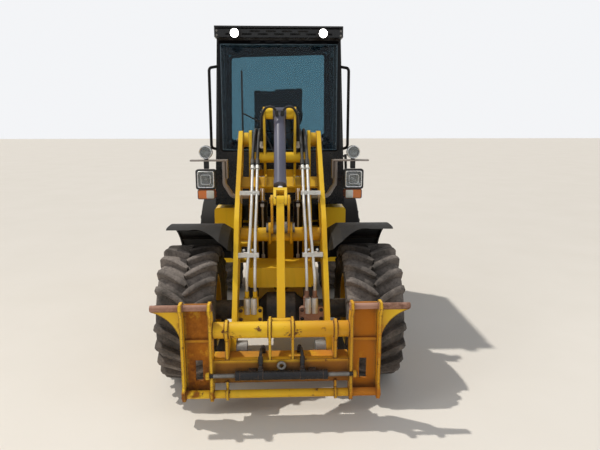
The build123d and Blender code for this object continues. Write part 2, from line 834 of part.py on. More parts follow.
def hitch_side_frame():
    """One side frame: two profiled uprights, the back plate with its slot, and the wing."""
    b0, b1 = hitch_face, hitch_face + hitch_depth
    outline = [
        (b0 + 18, hitch_bottom),
        (b1 - 10, hitch_bottom),
        (b1, hitch_bottom + 70),
        (b1, hitch_top - 110),
        (b1 - 34, hitch_top),
        (b0 + 8, hitch_top),
        (b0 - 8, hitch_top - 34),
        (b0 + 22, hitch_top - 80),
        (b0 + 22, hitch_bottom + 90),
        (b0, hitch_bottom + 60),
    ]
    outer = side_plate(outline, hitch_outer_x, hitch_outer_x + hitch_plate, radius=7)
    inner = side_plate(outline, hitch_inner_x, hitch_inner_x + hitch_plate, radius=7)
    back = block(hitch_inner_x + hitch_plate, hitch_outer_x, b1 - 26, b1 - 12, hitch_bottom + 30, hitch_top - 20)
    back -= block(437, 478, b1 - 60, b1, 231, 353)
    back += block(hitch_inner_x + hitch_plate, hitch_outer_x, b1 - 38, b1 - 24, 462, 480)
    sleeve = cross_round((b0 + 22, lock_height), 20, hitch_inner_x + hitch_plate, hitch_inner_x + hitch_plate + 22)
    wing_outline = make_face([
        Line((hitch_outer_x + hitch_plate, hitch_top_bar), (700, hitch_top_bar)),
        Line((700, hitch_top_bar), (700, hitch_top_bar - 22)),
        ThreePointArc((700, hitch_top_bar - 22), (610, 600), (hitch_outer_x + hitch_plate, 480)),
        Line((hitch_outer_x + hitch_plate, 480), (hitch_outer_x + hitch_plate, hitch_top_bar)),
    ])
    wing = Pos(0, at(b0 + 52), 0) * extrude(Plane.XZ * wing_outline, 12, both=True)
    bar = cross_round((b0 + 40, hitch_top_bar), 17, hitch_inner_x, 702)
    return outer + inner + back + wing + bar + sleeve


def hitch_ear(x0, x1, pivot, radius):
    ear = taper_plate(pivot, radius, hitch_tube, 56, x0, x1)
    return ear


def hitch():
    """The quick hitch: side frames, bars, cross tube, lower plate and the pivot ears."""
    body = both(hitch_side_frame())
    body += cross_round((hitch_face + 40, hitch_low_bar), 23, -hitch_outer_x - 20, hitch_outer_x + 20)
    body += cross_round(hitch_tube, hitch_tube_radius, -hitch_tube_half, hitch_tube_half)
    body += block(-hitch_inner_x - 4, hitch_inner_x + 4, hitch_face + 50, hitch_face + 66, 228, 362)
    body += block(-hitch_inner_x - 4, hitch_inner_x + 4, hitch_face + 50, -490, 350, 362)
    ear_x = arm_outer_x + plate_gap
    low_bar = (hitch_face + 40, hitch_low_bar)
    body += both(hitch_ear(ear_x, ear_x + ear_thickness, hitch_pivot, 42))
    body += both(side_plate(ear_gusset, ear_x, ear_x + ear_thickness))
    body += both(cross_round(low_bar, 34, strap_x - 7, strap_x + 7))
    body += both(block(strap_x - 7, strap_x + 7, hitch_face + 36, hitch_face + 66, hitch_low_bar, 240))
    centre = link_foot_half + plate_gap
    body += both(hitch_ear(centre, centre + ear_inner_thickness, link_foot, 34))
    body += both(side_plate(ear_skirt, centre, centre + ear_inner_thickness))
    body -= cross_round((hitch_face + 22, lock_height), lock_rod_radius + pin_gap, -hitch_outer_x, hitch_outer_x)
    body -= cross_round(hitch_pivot, hitch_pin_radius + pin_gap, -400, 400)
    body += both(cross_round(link_foot, small_pin_radius + 4, centre + ear_inner_thickness, centre + ear_inner_thickness + 7))
    return body


def hitch_pins():
    outer = arm_outer_x + plate_gap + ear_thickness
    pin = pin_caps(hitch_pivot, hitch_pin_radius, arm_inner_x - plate_gap, outer)
    pin += cross_round(hitch_pivot, pin_boss_radius, pin_boss_inner_x, arm_inner_x - plate_gap)
    return pair(pin)


def lock_cylinder():
    """The double-ended lock cylinder in front of the lower plate, with its two rods."""
    centre = (hitch_face + 22, lock_height)
    barrel = cross_round(centre, lock_barrel_radius, -lock_half, lock_half)
    for x0 in (-lock_half - 4, -128, 102, lock_half - 22):
        barrel += cross_round(centre, lock_barrel_radius + 2, x0, x0 + 26)
    rods = both(cross_round(centre, lock_rod_radius, lock_half - 2, lock_reach))
    seat = block(-180, -140, hitch_face + 26, hitch_face + 50, lock_height - 30, lock_height + 30)
    seat += block(150, 190, hitch_face + 26, hitch_face + 50, lock_height - 30, lock_height + 30)
    return barrel + rods + seat


# Rear frame


def rear_chassis():
    """Side plates, cross plates and the fork of joint lugs with its two pins."""
    outline = [
        (rear_front, 350),
        (rear_arch_front + 2, 350),
        (wheelbase - 150, 496),
        (wheelbase + 150, 496),
        (wheelbase + 210, 400),
        (weight_front, 400),
        (weight_front, rear_top),
        (rear_front, rear_top),
    ]
    inner, outer = rear_plate_inner, rear_plate_inner + rear_plate
    frame = both(side_plate(outline, inner, outer, radius=18))
    frame += block(-inner, inner, rear_front + 20, rear_front + 38, 350, rear_top)
    frame += block(-inner, inner, rear_arch_front - 18, rear_arch_front, 350, rear_top)
    frame += block(-inner, inner, wheelbase - 190, wheelbase - 170, 500, rear_top)
    frame += block(-inner, inner, wheelbase + 170, wheelbase + 190, 470, rear_top)
    frame += block(-inner, inner, rear_front + 20, rear_arch_front, 350, 362)
    for z_mid in (joint_upper, joint_lower):
        for side in (-1, 1):
            offset = side * (joint_lug / 2 + plate_gap + 12.5)
            frame += joint_plate(z_mid + offset, 25, rear_front + 30 - articulation_at, inner)
    frame += block(-outer, outer, rear_front + 60, rear_front + 200, rear_top - 12, rear_top)
    for behind in cab_mount_places:
        frame += block(-mount_x - 45, mount_x + 45, behind - 35, behind + 35, rear_top - 14, rear_top)
    for z0 in (480, 700):
        frame += both(block(outer, tank_inner_x, tank_rear - 147, tank_rear - 82, z0, z0 + 20))
    for bracket_at in ((wheelbase - 250, 700), (wheelbase + 65, rear_top - 17), (wheelbase + 250, 700)):
        frame += both(cross_round(bracket_at, 17, outer, rear_fender_inner_x))
    notch = block(-outer - 1, -inner + 45, rear_front - 10, steer_base[1] - 50, steer_height - 68, steer_height + 68)
    frame -= notch
    frame += steer_lugs(steer_base, -outer + 2)
    frame -= upright(*steer_base, small_pin_radius + pin_gap, 500, 660)
    frame -= joint_bore(joint_pin_radius + pin_gap)
    frame -= axle_cut(wheelbase)
    return frame - shaft_cut(articulation_at + 60, wheelbase - 60)


def joint_pins():
    y = at(articulation_at)
    pins = []
    for z_mid in (joint_upper, joint_lower):
        half = joint_lug / 2 + plate_gap + 25
        pin = Pos(0, y, z_mid) * Cylinder(joint_pin_radius, 2 * half)
        pin += Pos(0, y, z_mid + half + 5) * Cylinder(joint_pin_radius + 16, 10)
        pins.append(pin)
    reach = steer_eye_half + plate_gap + lug_plate
    pins.append(upright(*steer_base, small_pin_radius, steer_height - reach, steer_height + reach + 8))
    return group(*pins)


def counterweight():
    """The cast counterweight with rounded edges, a wide notch below and the tow socket."""
    body = block(-weight_half, weight_half, weight_front, rear_end, weight_bottom, weight_top)
    rear_edges = body.edges().filter_by(Axis.Z).sort_by(Axis.Y)[-2:]
    body = fillet(rear_edges, 90)
    low = body.faces().sort_by(Axis.Z)[0].edges().sort_by(Axis.Y)[-1]
    body = chamfer(low, 60)
    body -= block(-tow_half, tow_half, rear_end - tow_depth, rear_end + 1, weight_bottom - 1, 700)
    body += block(-tow_half - 1, tow_half + 1, rear_end - tow_depth - 1, rear_end - 22, tow_plate_z, tow_plate_z + 40)
    body -= upright(0, rear_end - tow_pin_in, 16, tow_plate_z - 1, tow_plate_z + 41)
    for side in (-1, 1):
        x0 = side * 455
        body -= block(x0 - 85, x0 + 85, rear_end - 34, rear_end + 1, 850, 940)
    return body


def tail_lamps():
    lamp = block(455 - 82, 455 + 82, rear_end - 34, rear_end - 4, 853, 937)
    lamp = fillet(lamp.edges().filter_by(Axis.Y), 10)
    return pair(lamp)


def side_tanks():
    """A tank on each side under the cab, with the two steps fixed to it."""
    tank = block(tank_inner_x, tank_outer_x, tank_rear - 222, tank_rear, 470, cab_floor - 45)
    tank = fillet(tank.edges().filter_by(Axis.Y), 30)
    step = block(tank_outer_x, tank_outer_x + 12, tank_rear - 192, tank_rear - 10, 330, 640)
    step += block(tank_outer_x + 12, 700, tank_rear - 192, tank_rear - 10, 330, 346)
    step += block(tank_outer_x + 12, 690, tank_rear - 186, tank_rear - 16, 590, 604)
    return tank, step


def engine_block():
    return block(-rear_plate_inner, rear_plate_inner, hood_front + 4, weight_front - 7, 560, 1230)


def engine_hood():
    """The tilting hood over the engine: a hollow shell open in front and below."""
    outline = [
        (hood_front, hood_bottom),
        (rear_end - 12, hood_bottom),
        (rear_end - 30, hood_top_rear - 60),
        (rear_end - 110, hood_top_rear),
        (hood_front, hood_top_front),
    ]
    shell = side_plate(outline, -hood_half, hood_half, radius=0)
    inner = side_plate([
        (hood_front - 10, hood_bottom - 10),
        (rear_end - 12 - hood_sheet, hood_bottom - 10),
        (rear_end - 30 - hood_sheet, hood_top_rear - 70),
        (rear_end - 120 - hood_sheet, hood_top_rear - hood_sheet),
        (hood_front - 10, hood_top_front - hood_sheet),
    ], -hood_half + hood_sheet, hood_half - hood_sheet)
    hood = shell - inner
    for row in range(7):
        z0 = hood_bottom + 36 + row * 34
        hood -= block(-250, 250, rear_end - 80, rear_end, z0, z0 + 18)
    for side in (-1, 1):
        for row in range(5):
            b0 = hood_front + 114 + row * 52
            hood -= block(side * hood_half - 40, side * hood_half + 40, b0, b0 + 26, 1120, 1260)
    for x0 in (-300, 260):
        hood += cross_round(hood_hinge, 12, x0, x0 + 40)
        hood += block(x0, x0 + 40, hood_hinge[0], hood_hinge[0] + 40, hood_top_front - 12, hood_hinge[1] + 5)
        hood -= cross_round(hood_hinge, 6, x0, x0 + 40)
    return hood


# Cab


def cab_volume(inset, z0, z1):
    """The cab's outer form, leaning in towards the roof, drawn in by inset."""
    def ring(z):
        share = (z - cab_floor) / (cab_roof_under - cab_floor)
        half = cab_half_low + (cab_half_high - cab_half_low) * share - inset
        front = at(cab_front + cab_lean_front * share + inset)
        rear = at(cab_rear - cab_lean_rear * share - inset)
        return Pos(0, (front + rear) / 2, z) * Rectangle(2 * half, rear - front)

    return loft([ring(z0), ring(z1)])


def door_opening(gap):
    """The cutter of the door's opening, drawn in by a gap."""
    return block(300, 700, door_front + gap, door_rear - gap, door_bottom + gap, header_height - gap)


def window_cutters():
    """Named cutters of the cab's openings."""
    post = cab_post
    return {
        "windshield": block(-cab_half_high + post - 8, cab_half_high - post + 8, cab_front - 50, cab_front + 150,
                            sill_height, header_height),
        "rear_window": block(-cab_half_high + post, cab_half_high - post, cab_rear - 180, cab_rear + 50,
                             sill_height + 75, header_height),
        "right_window": block(-700, -300, door_front, door_rear, sill_height - 85, header_height),
        "left_quarter": block(300, 700, door_rear + 50, cab_rear - 105, sill_height - 85, header_height),
        "right_quarter": block(-700, -300, door_rear + 50, cab_rear - 105, sill_height - 85, header_height),
    }


def cab_frame():
    """Posts, sills, floor and the closed lower panels, with every opening cut."""
    body = cab_volume(0, cab_floor, cab_roof_under) - cab_volume(cab_wall, cab_floor + 30, cab_roof_under + 1)
    for cutter in window_cutters().values():
        body -= cutter
    body -= door_opening(0)
    for z0 in door_hinge_heights:
        axis_y = at(door_rear - 2)
        body += Pos(door_hinge_x, axis_y, z0 + 15) * Cylinder(13, 30)
        body += block(cab_half_high - 6, door_hinge_x, door_rear + 1, door_rear + 24, z0, z0 + 30)
        body -= Pos(door_hinge_x, axis_y, z0 + 15) * Cylinder(6, 120)
    lug = block(238, 259, cab_rear - 40, hood_hinge[0] + 12, hood_hinge[1] - 12, hood_hinge[1] + 12)
    return body + both(lug + cross_round(hood_hinge, 5.7, 250, 298))


def cab_face(z):
    """How far behind the front axle the cab's front face is at a height."""
    return cab_front + cab_lean_front * (z - cab_floor) / (cab_roof_under - cab_floor)


def glass_panes():
    """The panes that fill their openings, a few millimetres in from the outside."""
    skin = cab_volume(glass_depth, cab_floor + 60, cab_roof_under - 20)
    skin -= cab_volume(glass_depth + glass_thickness, cab_floor + 50, cab_roof_under - 10)
    return {name: cutter & skin for name, cutter in window_cutters().items()}


def cab_door():
    """The door: its frame with a high window, and the glass in it."""
    skin = cab_volume(0, cab_floor + 10, cab_roof_under - 5) - cab_volume(40, cab_floor, cab_roof_under)
    leaf = skin & door_opening(door_gap)
    window = block(300, 700, door_front + 56, door_rear - 56, door_bottom + 195, header_height - 52)
    leaf -= window
    pane = cab_volume(glass_depth, cab_floor + 60, cab_roof_under - 20)
    pane -= cab_volume(glass_depth + glass_thickness, cab_floor + 50, cab_roof_under - 10)
    pane = pane & window
    for z0 in door_hinge_heights:
        axis_y = at(door_rear - 2)
        knuckle = Pos(door_hinge_x, axis_y, z0 + 47) * Cylinder(13, 30)
        arm = block(cab_half_high + 4, door_hinge_x, door_rear - 50, door_rear - door_gap - 1, z0 + 32, z0 + 62)
        leaf += knuckle + arm
        leaf += Pos(door_hinge_x, axis_y, z0 + 31) * Cylinder(5.7, 62)
    low, high = door_bottom + 80, door_bottom + 310
    handle_x = cab_half_low + 26
    handle = rod((handle_x, at(door_front + 40), low - 15), (handle_x - 8, at(door_front + 40), high + 15), 11)
    for z in (low, high):
        handle += block(handle_x - 48, handle_x, door_front + 32, door_front + 48, z - 8, z + 8)
    return leaf + handle, pane


def cab_roof():
    half = cab_half_high + 8
    roof = block(-half, half, cab_front + 2, cab_rear - 30, cab_roof_under, roof_top)
    roof = fillet(roof.edges().filter_by(Axis.Z), 50)
    top = roof.faces().sort_by(Axis.Z)[-1]
    return fillet(top.edges(), 24)


def roof_visor():
    """The slotted guard in front of the roof."""
    half = cab_half_high + 4
    plate = block(-half, half, cab_front - 96, cab_front - 88, roof_top - 88, roof_top - 32)
    pitch = 120.0
    for number in range(7):
        x = (number - 3) * pitch
        plate -= block(x - 38, x + 38, cab_front - 120, cab_front - 60, roof_top - 74, roof_top - 60)
    for number in range(4):
        x = (number - 1.5) * pitch
        plate -= block(x - 38, x + 38, cab_front - 120, cab_front - 60, roof_top - 53, roof_top - 41)
    top = block(-half, half, cab_front - 96, cab_front + 2, roof_top - 20, roof_top - 8)
    sides = both(block(half - 10, half, cab_front - 96, cab_front + 2, roof_top - 88, roof_top - 8))
    return plate + top + sides


def work_lamps():
    """Round work lamps: two under the visor and two at the back of the roof."""
    front = rod((327, at(cab_front - 96), roof_top - 66), (327, at(cab_front - 140), roof_top - 66), 36)
    rear = rod((360, at(cab_rear - 34), roof_top - 38), (360, at(cab_rear + 26), roof_top - 44), 34)
    rear -= block(0, cab_half_high, cab_front, cab_rear - 29.5, cab_roof_under, roof_top)
    return pair(front), pair(rear.solids().sort_by(SortBy.VOLUME)[-1])


def grab_rails():
    """A bent tube up each front post."""
    x = cab_half_low + 12
    y0, y1 = at(cab_front + 16), at(cab_front - 44)
    low, high = sill_height + 17, header_height - 153
    points = [(x - 24, y0, low), (x, y1, low + 14), (x, y1 + 6, high - 16), (x - 58, y0 + 8, high)]
    rail = round_path(points, 11, 30) - cab_volume(0, cab_floor, cab_roof_under)
    return pair(rail.solids().sort_by(SortBy.VOLUME)[-1])


def wiper():
    """The wiper: a base on the panel under the windscreen, a bent arm and a tall blade."""
    low, high, blade_x = sill_height - 27, sill_height + 225, -290
    y = at(cab_face(low)) - pin_gap - 0.3
    base = rod((-40, y, low), (-40, y - 32, low), 18)
    arm = rod((-40, y - 24, low), (-150, y - 24, high), 6)
    arm += rod((-150, y - 24, high), (blade_x, y - 14, high + 70), 6)
    blade_top = header_height - 185
    blade = rod((blade_x, y - 14, high - 140), (blade_x, at(cab_face(blade_top)) - 14, blade_top), 7)
    return base + arm + blade


def seat_parts():
    """The seat's base, cushion and backrest, with a gap between the soft pieces and the base."""
    base = block(-170, 170, seat_front + 80, seat_front + 380, cab_floor + 30, seat_height)
    base = fillet(base.edges().filter_by(Axis.Z), 40)
    base += block(-215, 215, seat_front + 30, seat_front + 460, seat_height, seat_height + 22)
    base += block(-60, 60, seat_front + 436, seat_front + 470, seat_height, seat_height + 270)
    cushion = block(-225, 225, seat_front, seat_front + 430, seat_height + 22 + pin_gap, seat_height + 130)
    cushion = fillet(cushion.edges().filter_by(Axis.Z), 70)
    back = block(-225, 225, seat_front + 342, seat_front + 436 - pin_gap, seat_height + 134, seat_height + 670)
    back = fillet(back.edges().filter_by(Axis.Y), 80)
    return base, cushion, back


def console():
    """The front console with the steering column."""
    body = block(-190, 190, cab_front + 60, cab_front + 175, cab_floor + 30, sill_height + 25)
    body = fillet(body.edges().filter_by(Axis.Z), 30)
    start = [c - 345 * d for c, d in zip(wheel_centre, wheel_lean)]
    end = [c - (13 + pin_gap) * d for c, d in zip(wheel_centre, wheel_lean)]
    return body + rod((0, at(start[0]), start[1]), (0, at(end[0]), end[1]), 24)


def steering_wheel():
    centre = (0, at(wheel_centre[0]), wheel_centre[1])
    tilt = Plane(origin=centre, x_dir=(1, 0, 0), z_dir=(0, *wheel_lean))
    ring = tilt * Torus(180, 14)
    hub_disc = tilt * Cylinder(36, 26)
    for angle in (90, 210, 330):
        spoke = tilt * Rot(0, 0, angle) * Pos(104, 0, 0) * Box(150, 26, 10)
        hub_disc += spoke
    return ring + hub_disc


def cab_mounts():
    feet = [upright(side * mount_x, behind, 42, rear_top, cab_floor) for side in (-1, 1) for behind in cab_mount_places]
    return group(*feet)


def lamp_brackets():
    """The bent tube and shelf that carry the lamps at each side of the tower."""
    points = [(frame_plate_outer, at(440), 1120), (340, at(440), 1120), (395, at(440), 1210), (395, at(440), 1372)]
    body = round_path(points, 16, 40)
    body += block(370, 632, 415, 475, 1372, 1382)
    body += block(370, 380, 415, 475, 1250, 1382)
    return pair(body)


def headlamps():
    """A rectangular headlamp with an indicator under it, and a round work lamp above."""
    head = block(452, 594, 395, 478, 1176, 1318)
    head = fillet(head.edges().filter_by(Axis.Y), 16)
    neck = block(505, 540, 440, 470, 1318, 1372)
    work = rod((520, at(470), 1436), (520, at(405), 1436), 47) + upright(520, 440, 14, 1382, 1395)
    signal = block(462, 584, 400, 462, 1106, 1176 - pin_gap)
    return pair(head + neck), pair(work), pair(fillet(signal.edges().filter_by(Axis.Y), 12))


def parts():
    """Every node of the loader by name."""
    tank, step = side_tanks()
    panes = glass_panes()
    door, door_pane = cab_door()
    seat_base, seat_cushion, seat_back = seat_parts()
    headlamp, front_work_lamp, signal = headlamps()
    roof_lamp, back_lamp = work_lamps()
    wheel_tyre, wheel_rim = tyre(), rim() + hub()
    nodes = {
        "rear_chassis": rear_chassis(),
        "joint_pins": joint_pins(),
        "counterweight": counterweight(),
        "engine_block": engine_block(),
        "rear_axle": axle(wheelbase, 190, 496) + drive_shaft(wheelbase, articulation_at + 45),
        "rear_fenders": fenders(wheelbase, rear_fender_radius, rear_fender_from, rear_fender_arc,
                                rear_fender_inner_x, 6),
        "side_tanks": pair(tank),
        "cab_steps": pair(step),
        "tail_lamps": tail_lamps(),
        "cab_mounts": cab_mounts(),
        "cab_frame": cab_frame(),
        "cab_roof": cab_roof(),
        "roof_visor": roof_visor(),
        "roof_lamps": group(roof_lamp, back_lamp),
        "windshield": panes["windshield"],
        "rear_window": panes["rear_window"],
        "side_windows": group(panes["right_window"], panes["left_quarter"], panes["right_quarter"]),
        "grab_rails": grab_rails(),
        "wiper": wiper(),
        "seat_base": seat_base,
        "seat_cushion": seat_cushion,
        "seat_back": seat_back,
        "console": console(),
        "steering_wheel": steering_wheel(),
        "cab_door": door,
        "door_glass": door_pane,
        "engine_hood": engine_hood(),
        "front_chassis": front_chassis(),
        "boom_pins": boom_pins(),
        "front_axle": axle(0, 190, frame_front_bottom) + drive_shaft(0, articulation_at - 45),
        "front_fenders": front_fenders(),
        "lamp_brackets": lamp_brackets(),
        "headlamps": headlamp,
        "work_lamps": front_work_lamp,
        "indicators": signal,
        "boom": arms(),
        "service_pipes": pair(service_pipes()),
        "pipe_blocks": pair(pipe_blocks()),
        "lift_barrels": lift_barrels(),
        "lift_rods": lift_rods(),
        "tilt_barrel": tilt_barrel(),
        "tilt_rod": tilt_rod(),
        "lever_pin": lever_pin(),
        "lever": lever(),
        "link_pin": link_pin(),
        "tilt_link": tilt_link(),
        "hitch_pins": hitch_pins(),
        "quick_hitch": hitch(),
        "lock_cylinder": lock_cylinder(),
        "steer_barrel": steer_barrel(),
        "steer_rod": steer_rod(),
    }
    for axle_name, behind in (("front", 0), ("rear", wheelbase)):
        for side_name, side in (("left", 1), ("right", -1)):
            nodes[f"{axle_name}_{side_name}_tyre"] = wheel_at(wheel_tyre, side, behind)
            nodes[f"{axle_name}_{side_name}_rim"] = wheel_at(wheel_rim, side, behind)
    return nodes


os.makedirs("parts", exist_ok=True)
for name, shape in parts().items():
    export_step(shape, f"parts/{name}.step")
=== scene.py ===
import bpy
import bmesh
import json
import math
import random
from mathutils import Matrix, Vector


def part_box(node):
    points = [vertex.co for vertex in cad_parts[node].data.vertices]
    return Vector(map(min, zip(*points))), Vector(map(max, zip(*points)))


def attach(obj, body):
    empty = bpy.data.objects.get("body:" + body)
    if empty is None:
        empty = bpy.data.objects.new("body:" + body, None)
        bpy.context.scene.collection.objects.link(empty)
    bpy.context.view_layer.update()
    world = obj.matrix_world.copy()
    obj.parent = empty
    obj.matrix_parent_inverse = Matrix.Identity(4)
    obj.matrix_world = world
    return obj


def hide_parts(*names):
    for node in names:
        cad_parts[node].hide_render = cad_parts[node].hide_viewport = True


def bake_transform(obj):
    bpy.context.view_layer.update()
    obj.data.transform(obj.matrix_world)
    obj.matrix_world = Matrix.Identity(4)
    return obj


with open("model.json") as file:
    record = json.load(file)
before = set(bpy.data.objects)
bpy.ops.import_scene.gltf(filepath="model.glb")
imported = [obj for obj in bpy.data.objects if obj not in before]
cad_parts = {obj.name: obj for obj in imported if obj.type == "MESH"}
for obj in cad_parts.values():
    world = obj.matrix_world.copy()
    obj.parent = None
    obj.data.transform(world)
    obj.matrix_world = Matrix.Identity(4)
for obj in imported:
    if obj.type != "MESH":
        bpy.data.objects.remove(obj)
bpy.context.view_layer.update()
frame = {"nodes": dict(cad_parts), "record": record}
nodes = frame["nodes"]
print("stage: frame loaded")

# Places along the machine are counted backwards from the front axle
frontAxleY = -0.9585
axles = {"front": 0.0, "rear": 1.75}
sides = (("left", 1), ("right", -1))


def at(behind):
    return frontAxleY + behind


# Camera, floor and light

camera = {"pos": (0.0, at(-3.277), 1.67), "pitch": 11.6, "yaw": 2.2, "lens": 31.2, "sensor": 36.0, "far": 100.0}
sky = {"low": (0.32, 0.31, 0.30, 1), "high": (0.92, 0.95, 1.0, 1), "top": 0.7, "strength": 0.42,
       "seen": (0.90, 0.91, 0.93, 1)}
lights = {
    "sun": {"kind": "SUN", "energy": 2.3, "pos": (-3.0, 1.2, 6.4), "target": (0, -0.3, 0), "size": 1.2,
            "color": (1.0, 0.96, 0.88)},
    "key": {"kind": "AREA", "energy": 75, "pos": (-4.3, -4.3, 3.4), "target": (0, -0.6, 0.9), "size": 2.2,
            "color": (1.0, 0.98, 0.95)},
    "fill": {"kind": "AREA", "energy": 30, "pos": (4.4, -3.4, 2.4), "target": (0, -0.3, 0.9), "size": 3.0,
             "color": (0.92, 0.96, 1.0)},
}
floorLook = {"half": 40.0, "color": (0.70, 0.66, 0.60), "pale": (0.76, 0.72, 0.67)}


def linked(name, data):
    obj = bpy.data.objects.new(name, data)
    bpy.context.scene.collection.objects.link(obj)
    return obj


def addCamera():
    data = bpy.data.cameras.new("camera")
    data.lens = camera["lens"]
    data.sensor_width = camera["sensor"]
    data.clip_end = camera["far"]
    obj = linked("camera", data)
    obj.location = camera["pos"]
    obj.rotation_euler = (math.radians(90 - camera["pitch"]), 0, math.radians(-camera["yaw"]))
    bpy.context.scene.camera = obj


def addLight(name, kind, energy, pos, target, size, color):
    # size: metres across for an area light, degrees for the sun
    data = bpy.data.lights.new(name, kind)
    data.energy = energy
    data.color = color
    if kind == "AREA":
        data.shape = "DISK"
        data.size = size
    else:
        data.angle = math.radians(size)
    obj = linked(name, data)
    obj.location = pos
    obj.visible_glossy = kind == "SUN"  # no white discs in the glass
    obj.rotation_euler = (Vector(target) - Vector(pos)).to_track_quat("-Z", "Y").to_euler()


def addWorld():
    # a dim sky lights the machine, and a pale one is what the camera, metal and glass see
    world = bpy.data.worlds.new("studio")
    bpy.context.scene.world = world
    world.use_nodes = True
    tree = world.node_tree
    tree.nodes.clear()
    out = tree.nodes.new("ShaderNodeOutputWorld")
    coords = tree.nodes.new("ShaderNodeTexCoord")
    split = tree.nodes.new("ShaderNodeSeparateXYZ")
    ramp = tree.nodes.new("ShaderNodeValToRGB")
    soft = tree.nodes.new("ShaderNodeBackground")
    pale = tree.nodes.new("ShaderNodeBackground")
    path = tree.nodes.new("ShaderNodeLightPath")
    mix = tree.nodes.new("ShaderNodeMixShader")
    first, last = ramp.color_ramp.elements
    first.position, first.color = 0.0, sky["low"]
    last.position, last.color = sky["top"], sky["high"]
    soft.inputs["Strength"].default_value = sky["strength"]
    pale.inputs["Color"].default_value = sky["seen"]
    tree.links.new(coords.outputs["Generated"], split.inputs[0])
    tree.links.new(split.outputs["Z"], ramp.inputs["Fac"])
    tree.links.new(ramp.outputs["Color"], soft.inputs["Color"])
    seen = path.outputs["Is Camera Ray"]
    for kind in ("Is Glossy Ray", "Is Transmission Ray"):
        either = tree.nodes.new("ShaderNodeMath")
        either.operation = "MAXIMUM"
        tree.links.new(seen, either.inputs[0])
        tree.links.new(path.outputs[kind], either.inputs[1])
        seen = either.outputs[0]
    tree.links.new(seen, mix.inputs["Fac"])
    tree.links.new(soft.outputs[0], mix.inputs[1])
    tree.links.new(pale.outputs[0], mix.inputs[2])
    tree.links.new(mix.outputs[0], out.inputs["Surface"])


# Material helpers: one builder adds nodes and links them by input name


class Shader:
    def __init__(self, name):
        self.mat = bpy.data.materials.new(name)
        self.mat.use_nodes = True
        self.tree = self.mat.node_tree
        self.tree.nodes.clear()
        self.out = self.tree.nodes.new("ShaderNodeOutputMaterial")
        self.bsdf = self.tree.nodes.new("ShaderNodeBsdfPrincipled")
        self.tree.links.new(self.bsdf.outputs[0], self.out.inputs["Surface"])
        self.place = self.tree.nodes.new("ShaderNodeTexCoord").outputs["Object"]
        self.normal = self.tree.nodes.new("ShaderNodeNewGeometry").outputs["Normal"]

    def feed(self, socket, value):
        if isinstance(value, bpy.types.NodeSocket):
            self.tree.links.new(value, socket)
        elif isinstance(value, (tuple, list)) and socket.type == "RGBA":
            socket.default_value = (*value[:3], 1.0)
        else:
            socket.default_value = value

    def set(self, **values):
        for key, value in values.items():
            self.feed(self.bsdf.inputs[key.replace("_", " ")], value)

    def math(self, op, a, b=0.0, clamp=False):
        node = self.tree.nodes.new("ShaderNodeMath")
        node.operation = op
        node.use_clamp = clamp
        self.feed(node.inputs[0], a)
        self.feed(node.inputs[1], b)
        return node.outputs[0]

    def axes(self, vector):
        split = self.tree.nodes.new("ShaderNodeSeparateXYZ")
        self.feed(split.inputs[0], vector)
        return split.outputs

    def texture(self, kind, scale):
        node = self.tree.nodes.new(kind)
        node.inputs["Scale"].default_value = scale
        self.feed(node.inputs["Vector"], self.place)
        return node

    def spots(self, scale, detail=3.0, rough=0.6, stretch=(1, 1, 1), offset=0.0):
        place = self.tree.nodes.new("ShaderNodeMapping")
        self.feed(place.inputs["Vector"], self.place)
        place.inputs["Scale"].default_value = stretch
        place.inputs["Location"].default_value = (offset, offset * 0.7, offset * 1.3)
        noise = self.tree.nodes.new("ShaderNodeTexNoise")
        self.feed(noise.inputs["Vector"], place.outputs[0])
        noise.inputs["Scale"].default_value = scale
        noise.inputs["Detail"].default_value = detail
        noise.inputs["Roughness"].default_value = rough
        return noise.outputs[0]

    def span(self, value, low, high, to0=0.0, to1=1.0):
        node = self.tree.nodes.new("ShaderNodeMapRange")
        node.interpolation_type = "SMOOTHSTEP"
        self.feed(node.inputs["Value"], value)
        node.inputs["From Min"].default_value = low
        node.inputs["From Max"].default_value = high
        node.inputs["To Min"].default_value = to0
        node.inputs["To Max"].default_value = to1
        return node.outputs[0]

    def mix(self, fac, a, b):
        node = self.tree.nodes.new("ShaderNodeMix")
        node.data_type = "RGBA"
        self.feed(node.inputs[0], fac)
        self.feed(node.inputs[6], a)
        self.feed(node.inputs[7], b)
        return node.outputs[2]

    def edges(self, radius):
        bevel = self.tree.nodes.new("ShaderNodeBevel")
        bevel.samples = 4
        bevel.inputs["Radius"].default_value = radius
        dot = self.tree.nodes.new("ShaderNodeVectorMath")
        dot.operation = "DOT_PRODUCT"
        self.feed(dot.inputs[0], bevel.outputs[0])
        self.feed(dot.inputs[1], self.normal)
        return self.span(dot.outputs["Value"], 0.999, 0.93)

    def nooks(self, distance):
        # ambient occlusion: 1 deep in nooks, used to paint shade where it falls
        ao = self.tree.nodes.new("ShaderNodeAmbientOcclusion")
        ao.samples = 4
        ao.inputs["Distance"].default_value = distance
        return self.span(ao.outputs["AO"], 0.85, 0.3)

    def facingUp(self):
        return self.span(self.axes(self.normal)["Z"], 0.35, 0.95)

    def zone(self, low, high, soft, mirror):
        # 1 inside a box of object space, None leaves a side open
        place = self.axes(self.place)
        mask = None
        for axis in range(3):
            value = place[axis]
            if axis == 0 and mirror:
                value = self.math("ABSOLUTE", value)
            for limit, inside in ((low[axis], 1.0), (high[axis], 0.0)):
                if limit is not None:
                    side = self.span(value, limit - soft, limit + soft, 1.0 - inside, inside)
                    mask = side if mask is None else self.math("MULTIPLY", mask, side)
        return mask

    def bump(self, value, strength, distance, under=None):
        node = self.tree.nodes.new("ShaderNodeBump")
        node.inputs["Strength"].default_value = strength
        node.inputs["Distance"].default_value = distance
        self.feed(node.inputs["Height"], value)
        if under is not None:
            self.feed(node.inputs["Normal"], under)
        return node.outputs[0]


